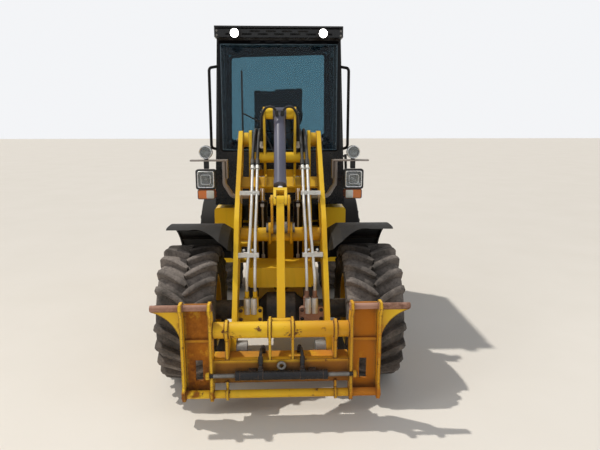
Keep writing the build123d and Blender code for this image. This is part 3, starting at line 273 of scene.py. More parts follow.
dustColor = (0.36, 0.31, 0.25)
rustColor = (0.17, 0.065, 0.025)
# colour of the painted shade put into nooks
paintedShadeColor = (0.055, 0.042, 0.03)
paintGrain = {"broad": 1.7, "mid": 9.0, "fine": 38.0, "streaks": 14.0, "scabs": 13.0, "peel": 160.0}
# the nooks entry sets how far the painted shade reaches, clean and dirty set the dust towards the ground
dustAndShadeReach = {"nooks": 0.05, "clean": 1.0, "dirty": 0.15}  # how deep a nook is, and how high paint is clean or dirty


def scaled(color, amount):
    return tuple(c * amount for c in color)


def paint(name, color, shade, wear=0.4, rust=0.25, dust=0.3, rough=0.38, edge=0.003,
          metal=(0.22, 0.15, 0.11), zones=(), shine=0.3):
    s = Shader(name)
    broad = s.spots(paintGrain["broad"], 2.0, 0.5)
    fine = s.spots(paintGrain["fine"], 4.0, 0.7, offset=3.1)
    mid = s.spots(paintGrain["mid"], 5.0, 0.65, offset=7.7)
    body = s.mix(s.span(broad, 0.35, 0.7), color, shade)
    streaks = s.spots(paintGrain["streaks"], 3.0, 0.6, stretch=(1, 1, 0.09), offset=1.3)
    body = s.mix(s.span(streaks, 0.55, 0.75, 0.0, 0.35), body, scaled(color, 0.62))
    # chipped edges and rusty scabs
    worn = s.span(mid, 0.5 - wear * 0.3, 0.62 - wear * 0.2)
    chips = s.math("MULTIPLY", s.edges(edge), worn, clamp=True)
    scabs = s.spots(paintGrain["scabs"], 6.0, 0.72, offset=12.0)
    scabs = s.span(scabs, 0.74 - rust * 0.22, 0.78 - rust * 0.18)
    bare = s.math("MAXIMUM", chips, scabs)
    body = s.mix(bare, body, s.mix(s.span(fine, 0.35, 0.65), rustColor, metal))
    # places that are worn more than the rest
    for spec in zones:
        mask = s.zone(spec["low"], spec["high"], spec["soft"], spec["mirror"])
        torn = s.span(mid, 0.72 - spec["amount"] * 0.55, 0.80 - spec["amount"] * 0.45)
        mask = s.math("MULTIPLY", mask, torn)
        tone = s.mix(s.span(fine, 0.3, 0.7), spec["color"], spec["dark"])
        tone = s.mix(s.span(broad, 0.4, 0.62), tone, scaled(spec["color"], 1.25))
        body = s.mix(mask, body, tone)
        bare = s.math("MAXIMUM", bare, s.math("MULTIPLY", mask, 0.8))
    # painted shade in the nooks, dust on top and near the ground
    paintedShade = s.math("MULTIPLY", s.nooks(dustAndShadeReach["nooks"]), s.span(mid, 0.3, 0.6, 0.4, 1.0))
    low = s.span(s.axes(s.place)["Z"], dustAndShadeReach["clean"], dustAndShadeReach["dirty"], 0.0, 0.55)
    settled = s.math("MULTIPLY", s.facingUp(), s.span(fine, 0.3, 0.7, 0.35, 1.0))
    settled = s.math("ADD", settled, s.math("MULTIPLY", low, s.span(mid, 0.42, 0.7)))
    cover = s.math("MULTIPLY", settled, dust, clamp=True)
    body = s.mix(s.math("MULTIPLY", paintedShade, 0.7), body, paintedShadeColor)
    body = s.mix(cover, body, dustColor)
    roughness = s.math("ADD", s.math("MULTIPLY", bare, 0.4), s.span(fine, 0.3, 0.75, rough - 0.06, rough + 0.1))
    roughness = s.math("ADD", roughness, s.math("MULTIPLY", cover, 0.45), clamp=True)
    peel = s.bump(s.spots(paintGrain["peel"], 2.0, 0.5), 0.05, 0.001)
    relief = s.bump(s.math("SUBTRACT", s.math("MULTIPLY", fine, 0.3), bare), 0.35, 0.0012, peel)
    s.set(Base_Color=body, Roughness=roughness, Normal=relief, Specular_IOR_Level=shine)
    return s.mat


# dark, pale, dusty, wall and edge are the rubber's own tones; nook is painted shade for the gaps between lugs
tyreTones = {"dark": (0.020, 0.019, 0.018), "pale": (0.045, 0.041, 0.037), "dusty": (0.31, 0.265, 0.235),
             "wall": (0.018, 0.017, 0.016), "edge": (0.15, 0.13, 0.11), "nook": (0.016, 0.013, 0.010)}


def rubber():
    s = Shader("tyreRubber")
    fine = s.spots(60.0, 4.0, 0.7)
    broad = s.spots(4.0, 4.0, 0.6, offset=5.0)
    body = s.mix(s.span(fine, 0.3, 0.7), tyreTones["dark"], tyreTones["pale"])
    dusty = s.span(broad, 0.34, 0.66, 0.15, 0.75)
    dusty = s.math("MULTIPLY", dusty, s.span(fine, 0.25, 0.6, 0.45, 1.0))
    body = s.mix(dusty, body, tyreTones["dusty"])
    wall = s.span(s.math("ABSOLUTE", s.axes(s.normal)["X"]), 0.55, 0.85)
    body = s.mix(s.math("MULTIPLY", wall, 0.75), body, tyreTones["wall"])
    body = s.mix(s.math("MULTIPLY", s.edges(0.006), 0.55), body, tyreTones["edge"])
    # painted shade: darker in the nooks between the lugs
    body = s.mix(s.math("MULTIPLY", s.nooks(0.05), 0.40), body, tyreTones["nook"])
    s.set(Base_Color=body, Roughness=s.span(fine, 0.2, 0.8, 0.78, 0.95), Specular_IOR_Level=0.3)
    s.set(Normal=s.bump(s.math("ADD", fine, s.spots(220.0, 3.0, 0.6)), 0.3, 0.0015))
    return s.mat


def plainRubber(name, color, rough=0.62):
    s = Shader(name)
    fine = s.spots(90.0, 4.0, 0.6)
    dusty = s.math("MULTIPLY", s.facingUp(), s.span(s.spots(12.0), 0.35, 0.75, 0.0, 0.22))
    s.set(Base_Color=s.mix(dusty, s.mix(fine, color, scaled(color, 1.9)), dustColor))
    s.set(Roughness=s.span(fine, 0.3, 0.7, rough - 0.08, rough + 0.1))
    s.set(Normal=s.bump(s.spots(400.0, 2.0, 0.5), 0.2, 0.0006))
    return s.mat


def metalFinish(name, color, rough, scratch=0.2, dirtAndShade=0.3, metallic=1.0):
    s = Shader(name)
    fine = s.spots(70.0, 4.0, 0.7)
    # painted shade: darker in the nooks; the same amount also sets the rust specks
    paintedShade = s.math("MULTIPLY", s.nooks(0.03), dirtAndShade, clamp=True)
    tint = s.mix(s.span(s.spots(9.0, 4.0), 0.45, 0.75, 0.0, 0.5), color, scaled(color, 0.6))
    tint = s.mix(paintedShade, tint, (0.06, 0.045, 0.03))
    specks = s.span(s.spots(31.0, 5.0, 0.7, offset=4.0), 0.66, 0.72, 0.0, dirtAndShade)
    tint = s.mix(specks, tint, rustColor)
    s.set(Base_Color=tint, Roughness=s.span(fine, 0.3, 0.75, rough, rough + scratch), Metallic=metallic)
    s.set(Normal=s.bump(fine, 0.08, 0.0008))
    return s.mat


# A low index keeps the inside of the cab in view
glass = {"clear": (0.42, 0.56, 0.58), "film": (0.42, 0.40, 0.36), "ior": 1.25}


def glassPane():
    s = Shader("cabGlass")
    smear = s.span(s.spots(3.0, 5.0, 0.6), 0.45, 0.8, 0.0, 0.06)
    film = s.math("ADD", smear, s.span(s.spots(55.0, 3.0), 0.64, 0.82, 0.0, 0.035))
    s.set(Base_Color=s.mix(film, glass["clear"], glass["film"]))
    s.set(Roughness=0.0, IOR=glass["ior"], Transmission_Weight=1.0)
    return s.mat


def lampGlass():
    s = Shader("lampGlass")
    ribs = s.texture("ShaderNodeTexWave", 60.0)
    ribs.bands_direction = "X"
    s.set(Base_Color=s.mix(s.span(s.spots(20.0), 0.5, 0.8, 0.0, 0.25), (0.66, 0.69, 0.69), (0.30, 0.27, 0.23)))
    s.set(Normal=s.bump(ribs.outputs["Fac"], 0.35, 0.002), Roughness=0.05, Transmission_Weight=0.92)
    return s.mat


def tintedLens(name, color):
    s = Shader(name)
    cells = s.texture("ShaderNodeTexVoronoi", 120.0)
    s.set(Base_Color=s.mix(s.span(s.spots(14.0), 0.45, 0.8, 0.0, 0.35), color, scaled(color, 0.5)))
    s.set(Normal=s.bump(cells.outputs["Distance"], 0.4, 0.001))
    s.set(Roughness=0.16, Coat_Weight=0.6, Subsurface_Weight=0.15)
    return s.mat


def glowing(name, color, strength):
    s = Shader(name)
    s.set(Base_Color=(0.9, 0.9, 0.9), Emission_Color=color, Emission_Strength=strength)
    return s.mat


def seatCloth():
    s = Shader("seatCloth")
    weave = s.texture("ShaderNodeTexVoronoi", 420.0)
    worn = s.span(s.spots(7.0, 4.0), 0.4, 0.7)
    s.set(Base_Color=s.mix(worn, (0.025, 0.026, 0.03), (0.06, 0.058, 0.056)))
    s.set(Normal=s.bump(weave.outputs["Distance"], 0.4, 0.0008), Roughness=0.9, Sheen_Weight=0.3)
    return s.mat


def wornZone(low, high, amount, tones, soft=0.012, mirror=True):
    return {"low": low, "high": high, "amount": amount, "soft": soft, "mirror": mirror, **tones}


yellow = (0.86, 0.56, 0.024)
yellowShade = (0.74, 0.41, 0.012)
freshYellow = {"color": yellow, "dark": yellowShade}
lightRust = {"color": (0.42, 0.145, 0.008), "dark": (0.17, 0.052, 0.008)}
deepRust = {"color": (0.21, 0.07, 0.012), "dark": (0.09, 0.03, 0.01)}
bareSteel = {"color": (0.36, 0.20, 0.145), "dark": (0.16, 0.075, 0.045)}
hitchZones = (
    wornZone((0.398, at(-0.596), 0.15), (0.526, at(-0.560), 0.69), 0.82, lightRust),
    wornZone((None, at(-0.612), 0.20), (0.372, at(-0.586), 0.35), 0.9, deepRust),
    wornZone((None, at(-0.570), 0.345), (0.372, at(-0.486), 0.366), 0.72, lightRust),
    wornZone((0.36, at(-0.640), 0.650), (0.72, at(-0.592), 0.694), 0.95, bareSteel, soft=0.004),
    wornZone((0.36, at(-0.69), 0.10), (0.56, at(-0.55), 0.20), 0.55, lightRust),
    wornZone((0.36, at(-0.70), 0.20), (0.56, at(-0.612), 0.64), 0.28, lightRust),
)
bossZones = (wornZone((0.047, None, 1.64), (None, None, None), 1.0, freshYellow, soft=0.002),)
blockZones = (wornZone((0.0, None, None), (None, None, None), 0.97, bareSteel, mirror=False),)
mats = {
    "yellow_paint": paint("yellowPaint", yellow, yellowShade, wear=0.3, rust=0.05, dust=0.04, rough=0.36),
    "worn_yellow": paint("wornYellow", (0.88, 0.56, 0.024), (0.66, 0.32, 0.010), wear=1.75, rust=0.62, dust=0.06,
                         rough=0.44, edge=0.0095, metal=(0.13, 0.05, 0.02), zones=hitchZones),
    "rim_paint": paint("rimPaint", yellow, yellowShade, wear=0.45, rust=0.2, dust=0.3, rough=0.42),
    "axle_paint": paint("axlePaint", (0.030, 0.030, 0.032), (0.05, 0.046, 0.042), wear=0.5, rust=0.3, dust=0.55,
                        rough=0.5),
    "frame_paint": paint("framePaint", (0.024, 0.024, 0.026), (0.04, 0.036, 0.032), wear=0.5, rust=0.28, dust=0.4,
                         rough=0.5),
    "black_paint": paint("blackPaint", (0.005, 0.005, 0.0055), (0.009, 0.0085, 0.008), wear=-0.5, rust=0.0,
                         dust=0.05, rough=0.58, shine=0.16),
    "cab_black": paint("cabBlack", (0.0045, 0.005, 0.006), (0.008, 0.0085, 0.009), wear=-0.6, rust=0.0,
                       dust=0.04, rough=0.28, shine=0.4),
    "black_plastic": plainRubber("blackPlastic", (0.006, 0.006, 0.0065), 0.55),
    "black_rubber": plainRubber("blackRubber", (0.007, 0.007, 0.0075)),
    "tyre_rubber": rubber(),
    "engine_iron": metalFinish("engineIron", (0.2, 0.2, 0.21), 0.5, 0.2, 0.6, 0.6),
    "pin_steel": metalFinish("pinSteel", (0.25, 0.24, 0.225), 0.48, 0.3, 0.7),
    "pipe_zinc": metalFinish("pipeZinc", (0.66, 0.66, 0.635), 0.34, 0.2, 0.22, 0.45),
    "dark_cylinder": paint("darkCylinder", (0.007, 0.008, 0.012), (0.012, 0.012, 0.015), wear=0.4, rust=0.1,
                           dust=0.06, rough=0.22),
    "blue_grey_cylinder": paint("blueGreyCylinder", (0.105, 0.108, 0.155), (0.080, 0.082, 0.120), wear=0.35,
                                rust=0.05, dust=0.05, rough=0.34, zones=bossZones),
    "chrome_rod": metalFinish("chromeRod", (0.88, 0.88, 0.89), 0.07, 0.1, 0.08),
    "cab_glass": glassPane(),
    "seat_fabric": seatCloth(),
    "lamp_white": lampGlass(),
    "lamp_red": tintedLens("redLens", (0.45, 0.02, 0.012)),
    "lamp_amber": tintedLens("amberLens", (0.85, 0.22, 0.015)),
}

# The tilt rod's line: its eye, its direction, and how far up the clevis ends
tiltRod = {"eye": {"Y": at(-0.069), "Z": 1.169}, "run": {"Y": 0.697, "Z": 0.717}, "clevis": (0.084, 0.086)}


def clevisFinish():
    # chrome on the rod, worn yellow on the clevis at its end
    s = Shader("clevisFinish")
    place = s.axes(s.place)
    steps = [s.math("MULTIPLY", s.math("SUBTRACT", place[axis], tiltRod["eye"][axis]), tiltRod["run"][axis])
             for axis in ("Y", "Z")]
    isRod = s.span(s.math("ADD", *steps), *tiltRod["clevis"])
    worn = s.span(s.spots(24.0, 5.0, 0.7), 0.58, 0.66)
    worn = s.math("MAXIMUM", worn, s.math("MULTIPLY", s.edges(0.004), 0.8), clamp=True)
    coat = s.mix(worn, yellow, (0.14, 0.06, 0.025))
    s.set(Base_Color=s.mix(isRod, coat, (0.86, 0.86, 0.87)), Metallic=isRod)
    s.set(Roughness=s.span(isRod, 0.0, 1.0, 0.45, 0.1), Normal=s.bump(s.spots(90.0), 0.08, 0.0008))
    return s.mat


# Nodes that look different from the other ones in their slot
special = {
    "pipe_blocks": paint("blockPaint", yellow, yellowShade, wear=0.7, rust=0.3, dust=0.1, zones=blockZones),
    "lever": paint("leverPaint", (0.82, 0.48, 0.018), (0.62, 0.28, 0.010), wear=0.9, rust=0.5, dust=0.12,
                   rough=0.45, edge=0.005),
    "lamp_brackets": paint("bracketPaint", (0.36, 0.345, 0.33), (0.26, 0.21, 0.18), wear=0.6, rust=0.3, dust=0.1,
                           rough=0.5),
    "tilt_rod": clevisFinish(),
    "headlamps": mats["black_plastic"],
    "work_lamps": mats["black_plastic"],
    "roof_lamps": mats["black_plastic"],
}
chrome = metalFinish("lampChrome", (0.40, 0.41, 0.42), 0.10, 0.1, 0.05)
bezelSilver = metalFinish("bezelSilver", (0.70, 0.71, 0.72), 0.22, 0.15, 0.1, 0.9)
litLamp = glowing("litLamp", (1.0, 0.98, 0.94), 9.0)


def dress():
    slots = {p["node"]: p["material_slot"] for p in frame["record"]["subparts"]}
    for name, obj in nodes.items():
        obj.data.materials.clear()
        obj.data.materials.append(special.get(name, mats[slots[name]]))


dress()
print("stage: materials")


def addFloor():
    mesh = bpy.data.meshes.new("floor")
    half = floorLook["half"]
    mesh.from_pydata([(-half, -half, 0), (half, -half, 0), (half, half, 0), (-half, half, 0)], [], [(0, 1, 2, 3)])
    floor = linked("floor", mesh)
    s = Shader("floorTone")
    s.set(Base_Color=s.mix(s.spots(1.2, 4.0, 0.6), floorLook["color"], floorLook["pale"]))
    s.set(Roughness=0.85, Normal=s.bump(s.spots(60.0, 4.0), 0.1, 0.002))
    mesh.materials.append(s.mat)


bpy.context.scene.view_settings.view_transform = "Standard"
addFloor()
addWorld()
for lightName, values in lights.items():
    addLight(lightName, **values)
addCamera()
print("stage: set")

# Mesh helpers


def makeObject(name, bm, slot, body, smooth=35.0, mat=None):
    bmesh.ops.recalc_face_normals(bm, faces=bm.faces[:])
    mesh = bpy.data.meshes.new(name)
    bm.to_mesh(mesh)
    bm.free()
    obj = linked(name, mesh)
    mesh.materials.append(mat or mats[slot])
    if smooth:
        mesh.shade_smooth()
        mesh.set_sharp_from_angle(angle=math.radians(smooth))
    if body:
        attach(obj, body)
    return obj


def skin(bm, rings, close=False):
    # faces from ring to ring, then on to the first ring or over both ends
    pairs = list(zip(rings[:-1], rings[1:]))
    if close:
        pairs.append((rings[-1], rings[0]))
    for low, high in pairs:
        for k in range(len(low)):
            after = (k + 1) % len(low)
            bm.faces.new((low[k], low[after], high[after], high[k]))
    if not close:
        bm.faces.new(rings[0])
        bm.faces.new(rings[-1])


def lathe(bm, profile, centre, axis, steps=48, close=False):
    # profile: (distance along the axis, radius)
    along = Vector(axis).normalized()
    side = along.orthogonal().normalized()
    other = along.cross(side)
    rings = []
    for distance, radius in profile:
        ring = []
        for step in range(steps):
            turn = 2 * math.pi * step / steps
            out = side * math.cos(turn) + other * math.sin(turn)
            ring.append(bm.verts.new(Vector(centre) + along * distance + out * max(radius, 1e-5)))
        rings.append(ring)
    skin(bm, rings, close)


def addBox(bm, centre, size, bevel=0.0):
    made = bmesh.ops.create_cube(bm, size=1.0)["verts"]
    place = Matrix.Translation(centre) @ Matrix.Diagonal((*size, 1.0))
    bmesh.ops.transform(bm, matrix=place, verts=made)
    if bevel:
        edges = {e for v in made for e in v.link_edges}
        bmesh.ops.bevel(bm, geom=list(edges), offset=bevel, segments=2, affect="EDGES", profile=0.6)


def smoothPath(points, per):
    # Catmull-Rom through the points
    pts = [Vector(p) for p in points]
    pts = [pts[0] * 2 - pts[1]] + pts + [pts[-1] * 2 - pts[-2]]
    path = []
    for a, b, c, d in zip(pts[:-3], pts[1:-2], pts[2:-1], pts[3:]):
        square = 2 * a - 5 * b + 4 * c - d
        cube = 3 * b - a - 3 * c + d
        for step in range(per):
            t = step / per
            path.append(0.5 * (2 * b + (c - a) * t + square * t * t + cube * t ** 3))
    path.append(pts[-2])
    return path


def addTube(bm, path, radius, steps):
    side = (path[1] - path[0]).normalized().orthogonal().normalized()
    rings = []
    for index, point in enumerate(path):
        ahead = (path[min(index + 1, len(path) - 1)] - path[max(index - 1, 0)]).normalized()
        side = (side - ahead * side.dot(ahead)).normalized()
        other = ahead.cross(side)
        rings.append([bm.verts.new(point + (side * math.cos(a) + other * math.sin(a)) * radius)
                      for a in (2 * math.pi * s / steps for s in range(steps))])
    skin(bm, rings)


# Tyres

tyre = {"radius": 0.43, "width": 0.355, "rim": 0.2222, "bead": 0.1375, "centreX": 0.5675}
lug = {"count": 22, "high": 0.037, "top": 0.028, "base": 0.041, "sections": 11, "past": 0.006, "round": 0.0035}


def wheels():
    # name, side and place behind the front axle
    return [(f"{axle}_{sideName}", side, behind) for axle, behind in axles.items() for sideName, side in sides]


def crown(x):
    across = x / (tyre["width"] / 2)
    return tyre["radius"] - 0.004 * across ** 2 - 0.022 * max(0.0, (abs(across) - 0.8) / 0.2) ** 2


def addTyreBody(bm):
    half, rim, bead = tyre["width"] / 2, tyre["rim"], tyre["bead"]
    tread = tyre["radius"] - lug["high"]
    wall = [
        (bead, rim), (bead + 0.001, rim + 0.012), (bead + 0.010, rim + 0.022), (bead + 0.014, rim + 0.026),
        (bead + 0.014, rim + 0.031), (bead + 0.018, rim + 0.036), (half - 0.016, rim + 0.060),
        (half - 0.007, rim + 0.082), (half - 0.004, rim + 0.084), (half - 0.004, rim + 0.089),
        (half - 0.006, rim + 0.091), (half - 0.003, rim + 0.112), (half - 0.001, rim + 0.114),
        (half - 0.001, rim + 0.118), (half - 0.003, rim + 0.120), (half - 0.006, rim + 0.140),
        (half - 0.015, tread - 0.024), (half - 0.032, tread - 0.008), (half - 0.07, tread - 0.002),
    ]
    profile = wall + [(0.0, tread)] + [(-x, q) for x, q in reversed(wall)]
    lathe(bm, profile, (0, 0, 0), (1, 0, 0), steps=96, close=True)


def addLug(bm, side, phase):
    # a bar that sweeps from just past the middle to the shoulder, wider and steeper on its way
    half, r = tyre["width"] / 2, tyre["radius"]
    soft = lug["round"]
    x, lastX = -lug["past"], half - 0.001
    angle = phase
    rings = []
    for index in range(lug["sections"]):
        t = index / (lug["sections"] - 1)
        nextX = -lug["past"] + (lastX + lug["past"]) * t
        slope = 0.95 - 0.62 * t
        angle += (nextX - x) * slope / r
        x = nextX
        run = Vector((1.0, slope)).normalized()
        across = Vector((-run.y, run.x))
        wide = min(1.0, 0.55 + 3.0 * t) * (1.0 + 0.25 * t) / 2
        top, base = lug["top"] * wide, lug["base"] * wide
        high = crown(x)
        low = r - lug["high"] - 0.006 - 0.03 * max(0.0, (t - 0.72) / 0.28)
        flank = [(top - soft, high), (top + 0.001, high - soft), ((base + top) / 2, (low + high) / 2), (base, low)]
        section = [(-off, radial) for off, radial in reversed(flank)] + flank
        ring = []
        for off, radial in section:
            turn = angle + across.y * off / r
            ring.append(bm.verts.new((side * min(x + across.x * off, half), radial * math.sin(turn),
                                      radial * math.cos(turn))))
        rings.append(ring)
    # a sloping foot down the sidewall
    foot = []
    for off, radial in section:
        turn = angle + across.y * off * 0.9 / r
        foot.append(bm.verts.new((side * (half - 0.004), (radial - 0.03) * math.sin(turn),
                                  (radial - 0.03) * math.cos(turn))))
    skin(bm, rings + [foot])


def tyreMesh():
    bm = bmesh.new()
    addTyreBody(bm)
    pitch = 2 * math.pi / lug["count"]
    for number in range(lug["count"]):
        addLug(bm, 1, number * pitch)
        addLug(bm, -1, (number + 0.5) * pitch)
    return bm


def dressWheels():
    for wheel, side, behind in wheels():
        bm = tyreMesh()
        turn = Matrix.Rotation(random.uniform(0, 1), 4, "X")
        move = Matrix.Translation((side * tyre["centreX"], at(behind), tyre["radius"]))
        bmesh.ops.transform(bm, matrix=move @ turn, verts=bm.verts[:])
        obj = makeObject(wheel + "_tyreBody", bm, "tyre_rubber", wheel + "_wheel", smooth=40.0)
        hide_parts(wheel + "_tyre")


random.seed(7)
dressWheels()
print("stage: tyres")


# Small turned pieces, each made once and repeated at many places by a node group


def turnedPiece(name, layers):
    # layers: (sides, profile), for a head radius of 1 and its axis along Z
    bm = bmesh.new()
    for count, profile in layers:
        lathe(bm, profile, (0, 0, 0), (0, 0, 1), steps=count)
    bmesh.ops.recalc_face_normals(bm, faces=bm.faces[:])
    mesh = bpy.data.meshes.new(name)
    bm.to_mesh(mesh)
    bm.free()
    return bpy.data.objects.new(name, mesh)


def repeatGroup(material):
    group = bpy.data.node_groups.new("repeatOnPoints", "GeometryNodeTree")
    for name, kind in (("Geometry", "Geometry"), ("Piece", "Object"), ("Size", "Float")):
        group.interface.new_socket(name, in_out="INPUT", socket_type="NodeSocket" + kind)
    group.interface.new_socket("Geometry", in_out="OUTPUT", socket_type="NodeSocketGeometry")
    add, link = group.nodes.new, group.links.new
    start, end = add("NodeGroupInput"), add("NodeGroupOutput")
    info = add("GeometryNodeObjectInfo")
    aim = add("GeometryNodeInputNamedAttribute")
    align = add("FunctionNodeAlignRotationToVector")
    spin = add("FunctionNodeRandomValue")
    spinTurn = add("FunctionNodeAxisAngleToRotation")
    turn = add("FunctionNodeRotateRotation")
    repeat = add("GeometryNodeInstanceOnPoints")
    realize = add("GeometryNodeRealizeInstances")
    coat = add("GeometryNodeSetMaterial")
    aim.data_type = "FLOAT_VECTOR"
    aim.inputs["Name"].default_value = "aim"
    align.axis = "Z"
    spin.data_type = "FLOAT"
    spin.inputs[2].default_value, spin.inputs[3].default_value = 0.0, 6.28
    spin.inputs["Seed"].default_value = 5
    turn.rotation_space = "LOCAL"
    spinTurn.inputs["Axis"].default_value = (0, 0, 1)
    coat.inputs["Material"].default_value = material
    link(spin.outputs[1], spinTurn.inputs["Angle"])
    link(start.outputs["Piece"], info.inputs["Object"])
    link(aim.outputs[0], align.inputs["Vector"])
    link(align.outputs[0], turn.inputs["Rotation"])
    link(spinTurn.outputs[0], turn.inputs["Rotate By"])
    link(start.outputs["Geometry"], repeat.inputs["Points"])
    link(info.outputs["Geometry"], repeat.inputs["Instance"])
    link(turn.outputs[0], repeat.inputs["Rotation"])
    link(start.outputs["Size"], repeat.inputs["Scale"])
    link(repeat.outputs[0], realize.inputs[0])
    link(realize.outputs[0], coat.inputs["Geometry"])
    link(coat.outputs[0], end.inputs[0])
    return group


def repeatPiece(name, source, size, places, slot, body):
    # places: (position, direction the piece's Z points)
    mesh = bpy.data.meshes.new(name)
    mesh.from_pydata([p for p, _ in places], [], [])
    aim = mesh.attributes.new("aim", "FLOAT_VECTOR", "POINT")
    aim.data.foreach_set("vector", [c for _, d in places for c in d])
    obj = linked(name, mesh)
    mod = obj.modifiers.new("repeat", "NODES")
    mod.node_group = repeatGroup(mats[slot])
    sockets = {i.name: i.identifier for i in mod.node_group.interface.items_tree if i.in_out == "INPUT"}
    mod[sockets["Piece"]] = source
    mod[sockets["Size"]] = size
    bpy.context.view_layer.update()
    made = bpy.data.meshes.new_from_object(obj.evaluated_get(bpy.context.evaluated_depsgraph_get()))
    obj.modifiers.clear()
    obj.data = made
    if not made.materials:
        made.materials.append(mats[slot])
    made.shade_smooth()
    made.set_sharp_from_angle(angle=math.radians(30))
    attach(obj, body)


def bothSides(places):
    return places + [((-x, y, z), (-u, v, w)) for (x, y, z), (u, v, w) in places]


# Bolts

wheelBolts = {"x": 0.576, "circle": 0.1025, "count": 5, "turn": 0.0}
hubBolts = {"x": 0.6115, "circle": 0.034, "count": 8, "turn": 0.5}
forwards, outwards, upwards = (0, -1, 0), (1, 0, 0), (0, 0, 1)
# name, head radius, slot, body, direction, and where they stand on the left
boltRows = (
    ("pipeBlockBolts", 0.0095, "dark_cylinder", "boom", forwards,
     [(x, at(-0.2802), z) for x in (0.128, 0.244) for z in (0.469, 0.525)]),
    ("pipeClampBolts", 0.0065, "pipe_zinc", "boom", forwards,
     [(x, at(b) - 0.0135, z) for b, z, lanes in ((0.0465, 1.2, (0.166, 0.222)), (-0.1635, 0.878, (0.172, 0.225)))
      for x in lanes]),
    ("armPinBolts", 0.0125, "pin_steel", "front_frame", outwards, [(0.2972, at(0.5), 1.52)]),
    ("weightBolts", 0.016, "dark_cylinder", "rear_frame", outwards,
     [(0.6002, at(b), z) for b in (2.37, 2.49) for z in (0.60, 0.82)]),
    ("roofBolts", 0.008, "black_plastic", "rear_frame", outwards,
     [(0.4842, at(b), 2.31) for b in (1.00, 1.40, 1.84)]),
    ("visorBolts", 0.006, "pin_steel", "rear_frame", forwards, [(0.462, at(0.8035), z) for z in (2.274, 2.306)]),
    ("stepBolts", 0.009, "pin_steel", "rear_frame", outwards,
     [(0.5602, at(b), z) for b in (1.065, 1.197) for z in (0.42, 0.52)]),
)
bolt = turnedPiece("boltPrimitive", (
    (20, [(0.0, 1.25), (0.12, 1.25), (0.15, 1.18)]),
    (6, [(0.15, 1.0), (0.62, 1.0), (0.74, 0.86)]),
    (12, [(0.74, 0.50), (0.86, 0.50), (0.92, 0.42)]),
))


def boltCircle(side, behind, x, circle, count, turn):
    angles = [2 * math.pi * (k + turn) / count for k in range(count)]
    return [((side * x, at(behind) + circle * math.sin(a), tyre["radius"] + circle * math.cos(a)), (side, 0, 0))
            for a in angles]


def addBolts():
    for wheel, side, behind in wheels():
        repeatPiece(wheel + "_wheelBolts", bolt, 0.0125, boltCircle(side, behind, **wheelBolts), "pin_steel",
                    wheel + "_wheel")
        repeatPiece(wheel + "_hubBolts", bolt, 0.005, boltCircle(side, behind, **hubBolts), "pin_steel",
                    wheel + "_wheel")
    for name, size, slot, body, direction, spots in boltRows:
        repeatPiece(name, bolt, size, bothSides([(spot, direction) for spot in spots]), slot, body)


addBolts()
print("stage: bolts")


# Hoses and their fittings

hoseRadius = {"arm": 0.0105, "tilt": 0.0085, "joint": 0.012, "lock": 0.0092}
nutRadius = {"pipe": 0.0125, "lift": 0.011, "lock": 0.0115}
liftTube = {"foot": (0.125, at(0.420), 0.620), "run": (0, -0.1137, 0.9935), "low": 0.075, "high": 0.455,
            "radius": 0.0065}


def hose(name, points, radius, body=None, span=None):
    # span: (body a, body b, start, end) for a hose that crosses a joint
    bm = bmesh.new()
    path = smoothPath(points, 9)
    addTube(bm, path, radius, 12)
    ferrule = [(0.0, radius * 1.05), (0.001, radius * 1.45), (radius * 4.2, radius * 1.45),
               (radius * 4.6, radius * 1.15)]
    for tip, inward in ((path[0], path[1]), (path[-1], path[-2])):
        run = (inward - tip).normalized()
        lathe(bm, ferrule, tip - run * 0.001, run, steps=14)
    obj = makeObject(name, bm, "black_rubber", body, smooth=40.0)
    if span:
        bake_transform(obj)


def nutFitting(bm, pos, run, radius):
    lathe(bm, [(0.0, radius * 1.3), (radius * 0.9, radius * 1.3), (radius, radius * 1.15)], pos, run, steps=6)
    lathe(bm, [(radius * 0.9, radius), (radius * 2.4, radius)], pos, run, steps=14)


def addArmHoses(sideName, side):
    # from the steel pipes over the arms' pivot and down into the tower
    run = Vector((0.0, 0.689, 0.725))
    for laneName, lane in (("inner", 0.150), ("outer", 0.182)):
        x = side * lane
        top = Vector((x, at(0.210), 1.372))
        bm = bmesh.new()
        nutFitting(bm, top - run * 0.045, run, nutRadius["pipe"])
        nutFitting(bm, (x, at(0.566), 1.3005), (0, 0, 1), nutRadius["pipe"])
        makeObject(f"{sideName}_{laneName}_pipeNut", bm, "pipe_zinc", "boom")
        points = [top - run * 0.01, top + run * 0.05, (x * 0.99, at(0.315), 1.478),
                  (x * 0.96, at(0.405), 1.560), (x * 0.93, at(0.500), 1.590), (x * 0.92, at(0.560), 1.540),
                  (x * 0.93, at(0.578), 1.440), (x, at(0.566), 1.345)]
        hose(f"{sideName}_{laneName}_armHose", points, hoseRadius["arm"],
             span=("boom", "front_frame", tuple(top), (x, at(0.500), 1.590)))


def addTiltHose(sideName, side):
    x = side * 0.128
    bm = bmesh.new()
    nutFitting(bm, (side * 0.1165, at(0.478), 1.475), (side, 0, 0), nutRadius["pipe"])
    addBox(bm, (x, at(0.478), 1.475), (0.022, 0.024, 0.03), 0.003)
    nutFitting(bm, (x, at(0.474), 1.488), (0, -0.25, 1), nutRadius["pipe"])
    makeObject(f"{sideName}_tiltElbow", bm, "pipe_zinc", "front_frame")
    points = [(x, at(0.466), 1.512), (x, at(0.445), 1.585), (side * 0.125, at(0.405), 1.680),
              (side * 0.095, at(0.375), 1.738), (side * 0.050, at(0.366), 1.745), (side * 0.022, at(0.374), 1.715),
              (side * 0.018, at(0.386), 1.690)]
    hose(f"{sideName}_tiltHose", points, hoseRadius["tilt"],
         span=("front_frame", "tilt_barrel", (x, at(0.44), 1.60), (side * 0.05, at(0.366), 1.745)))


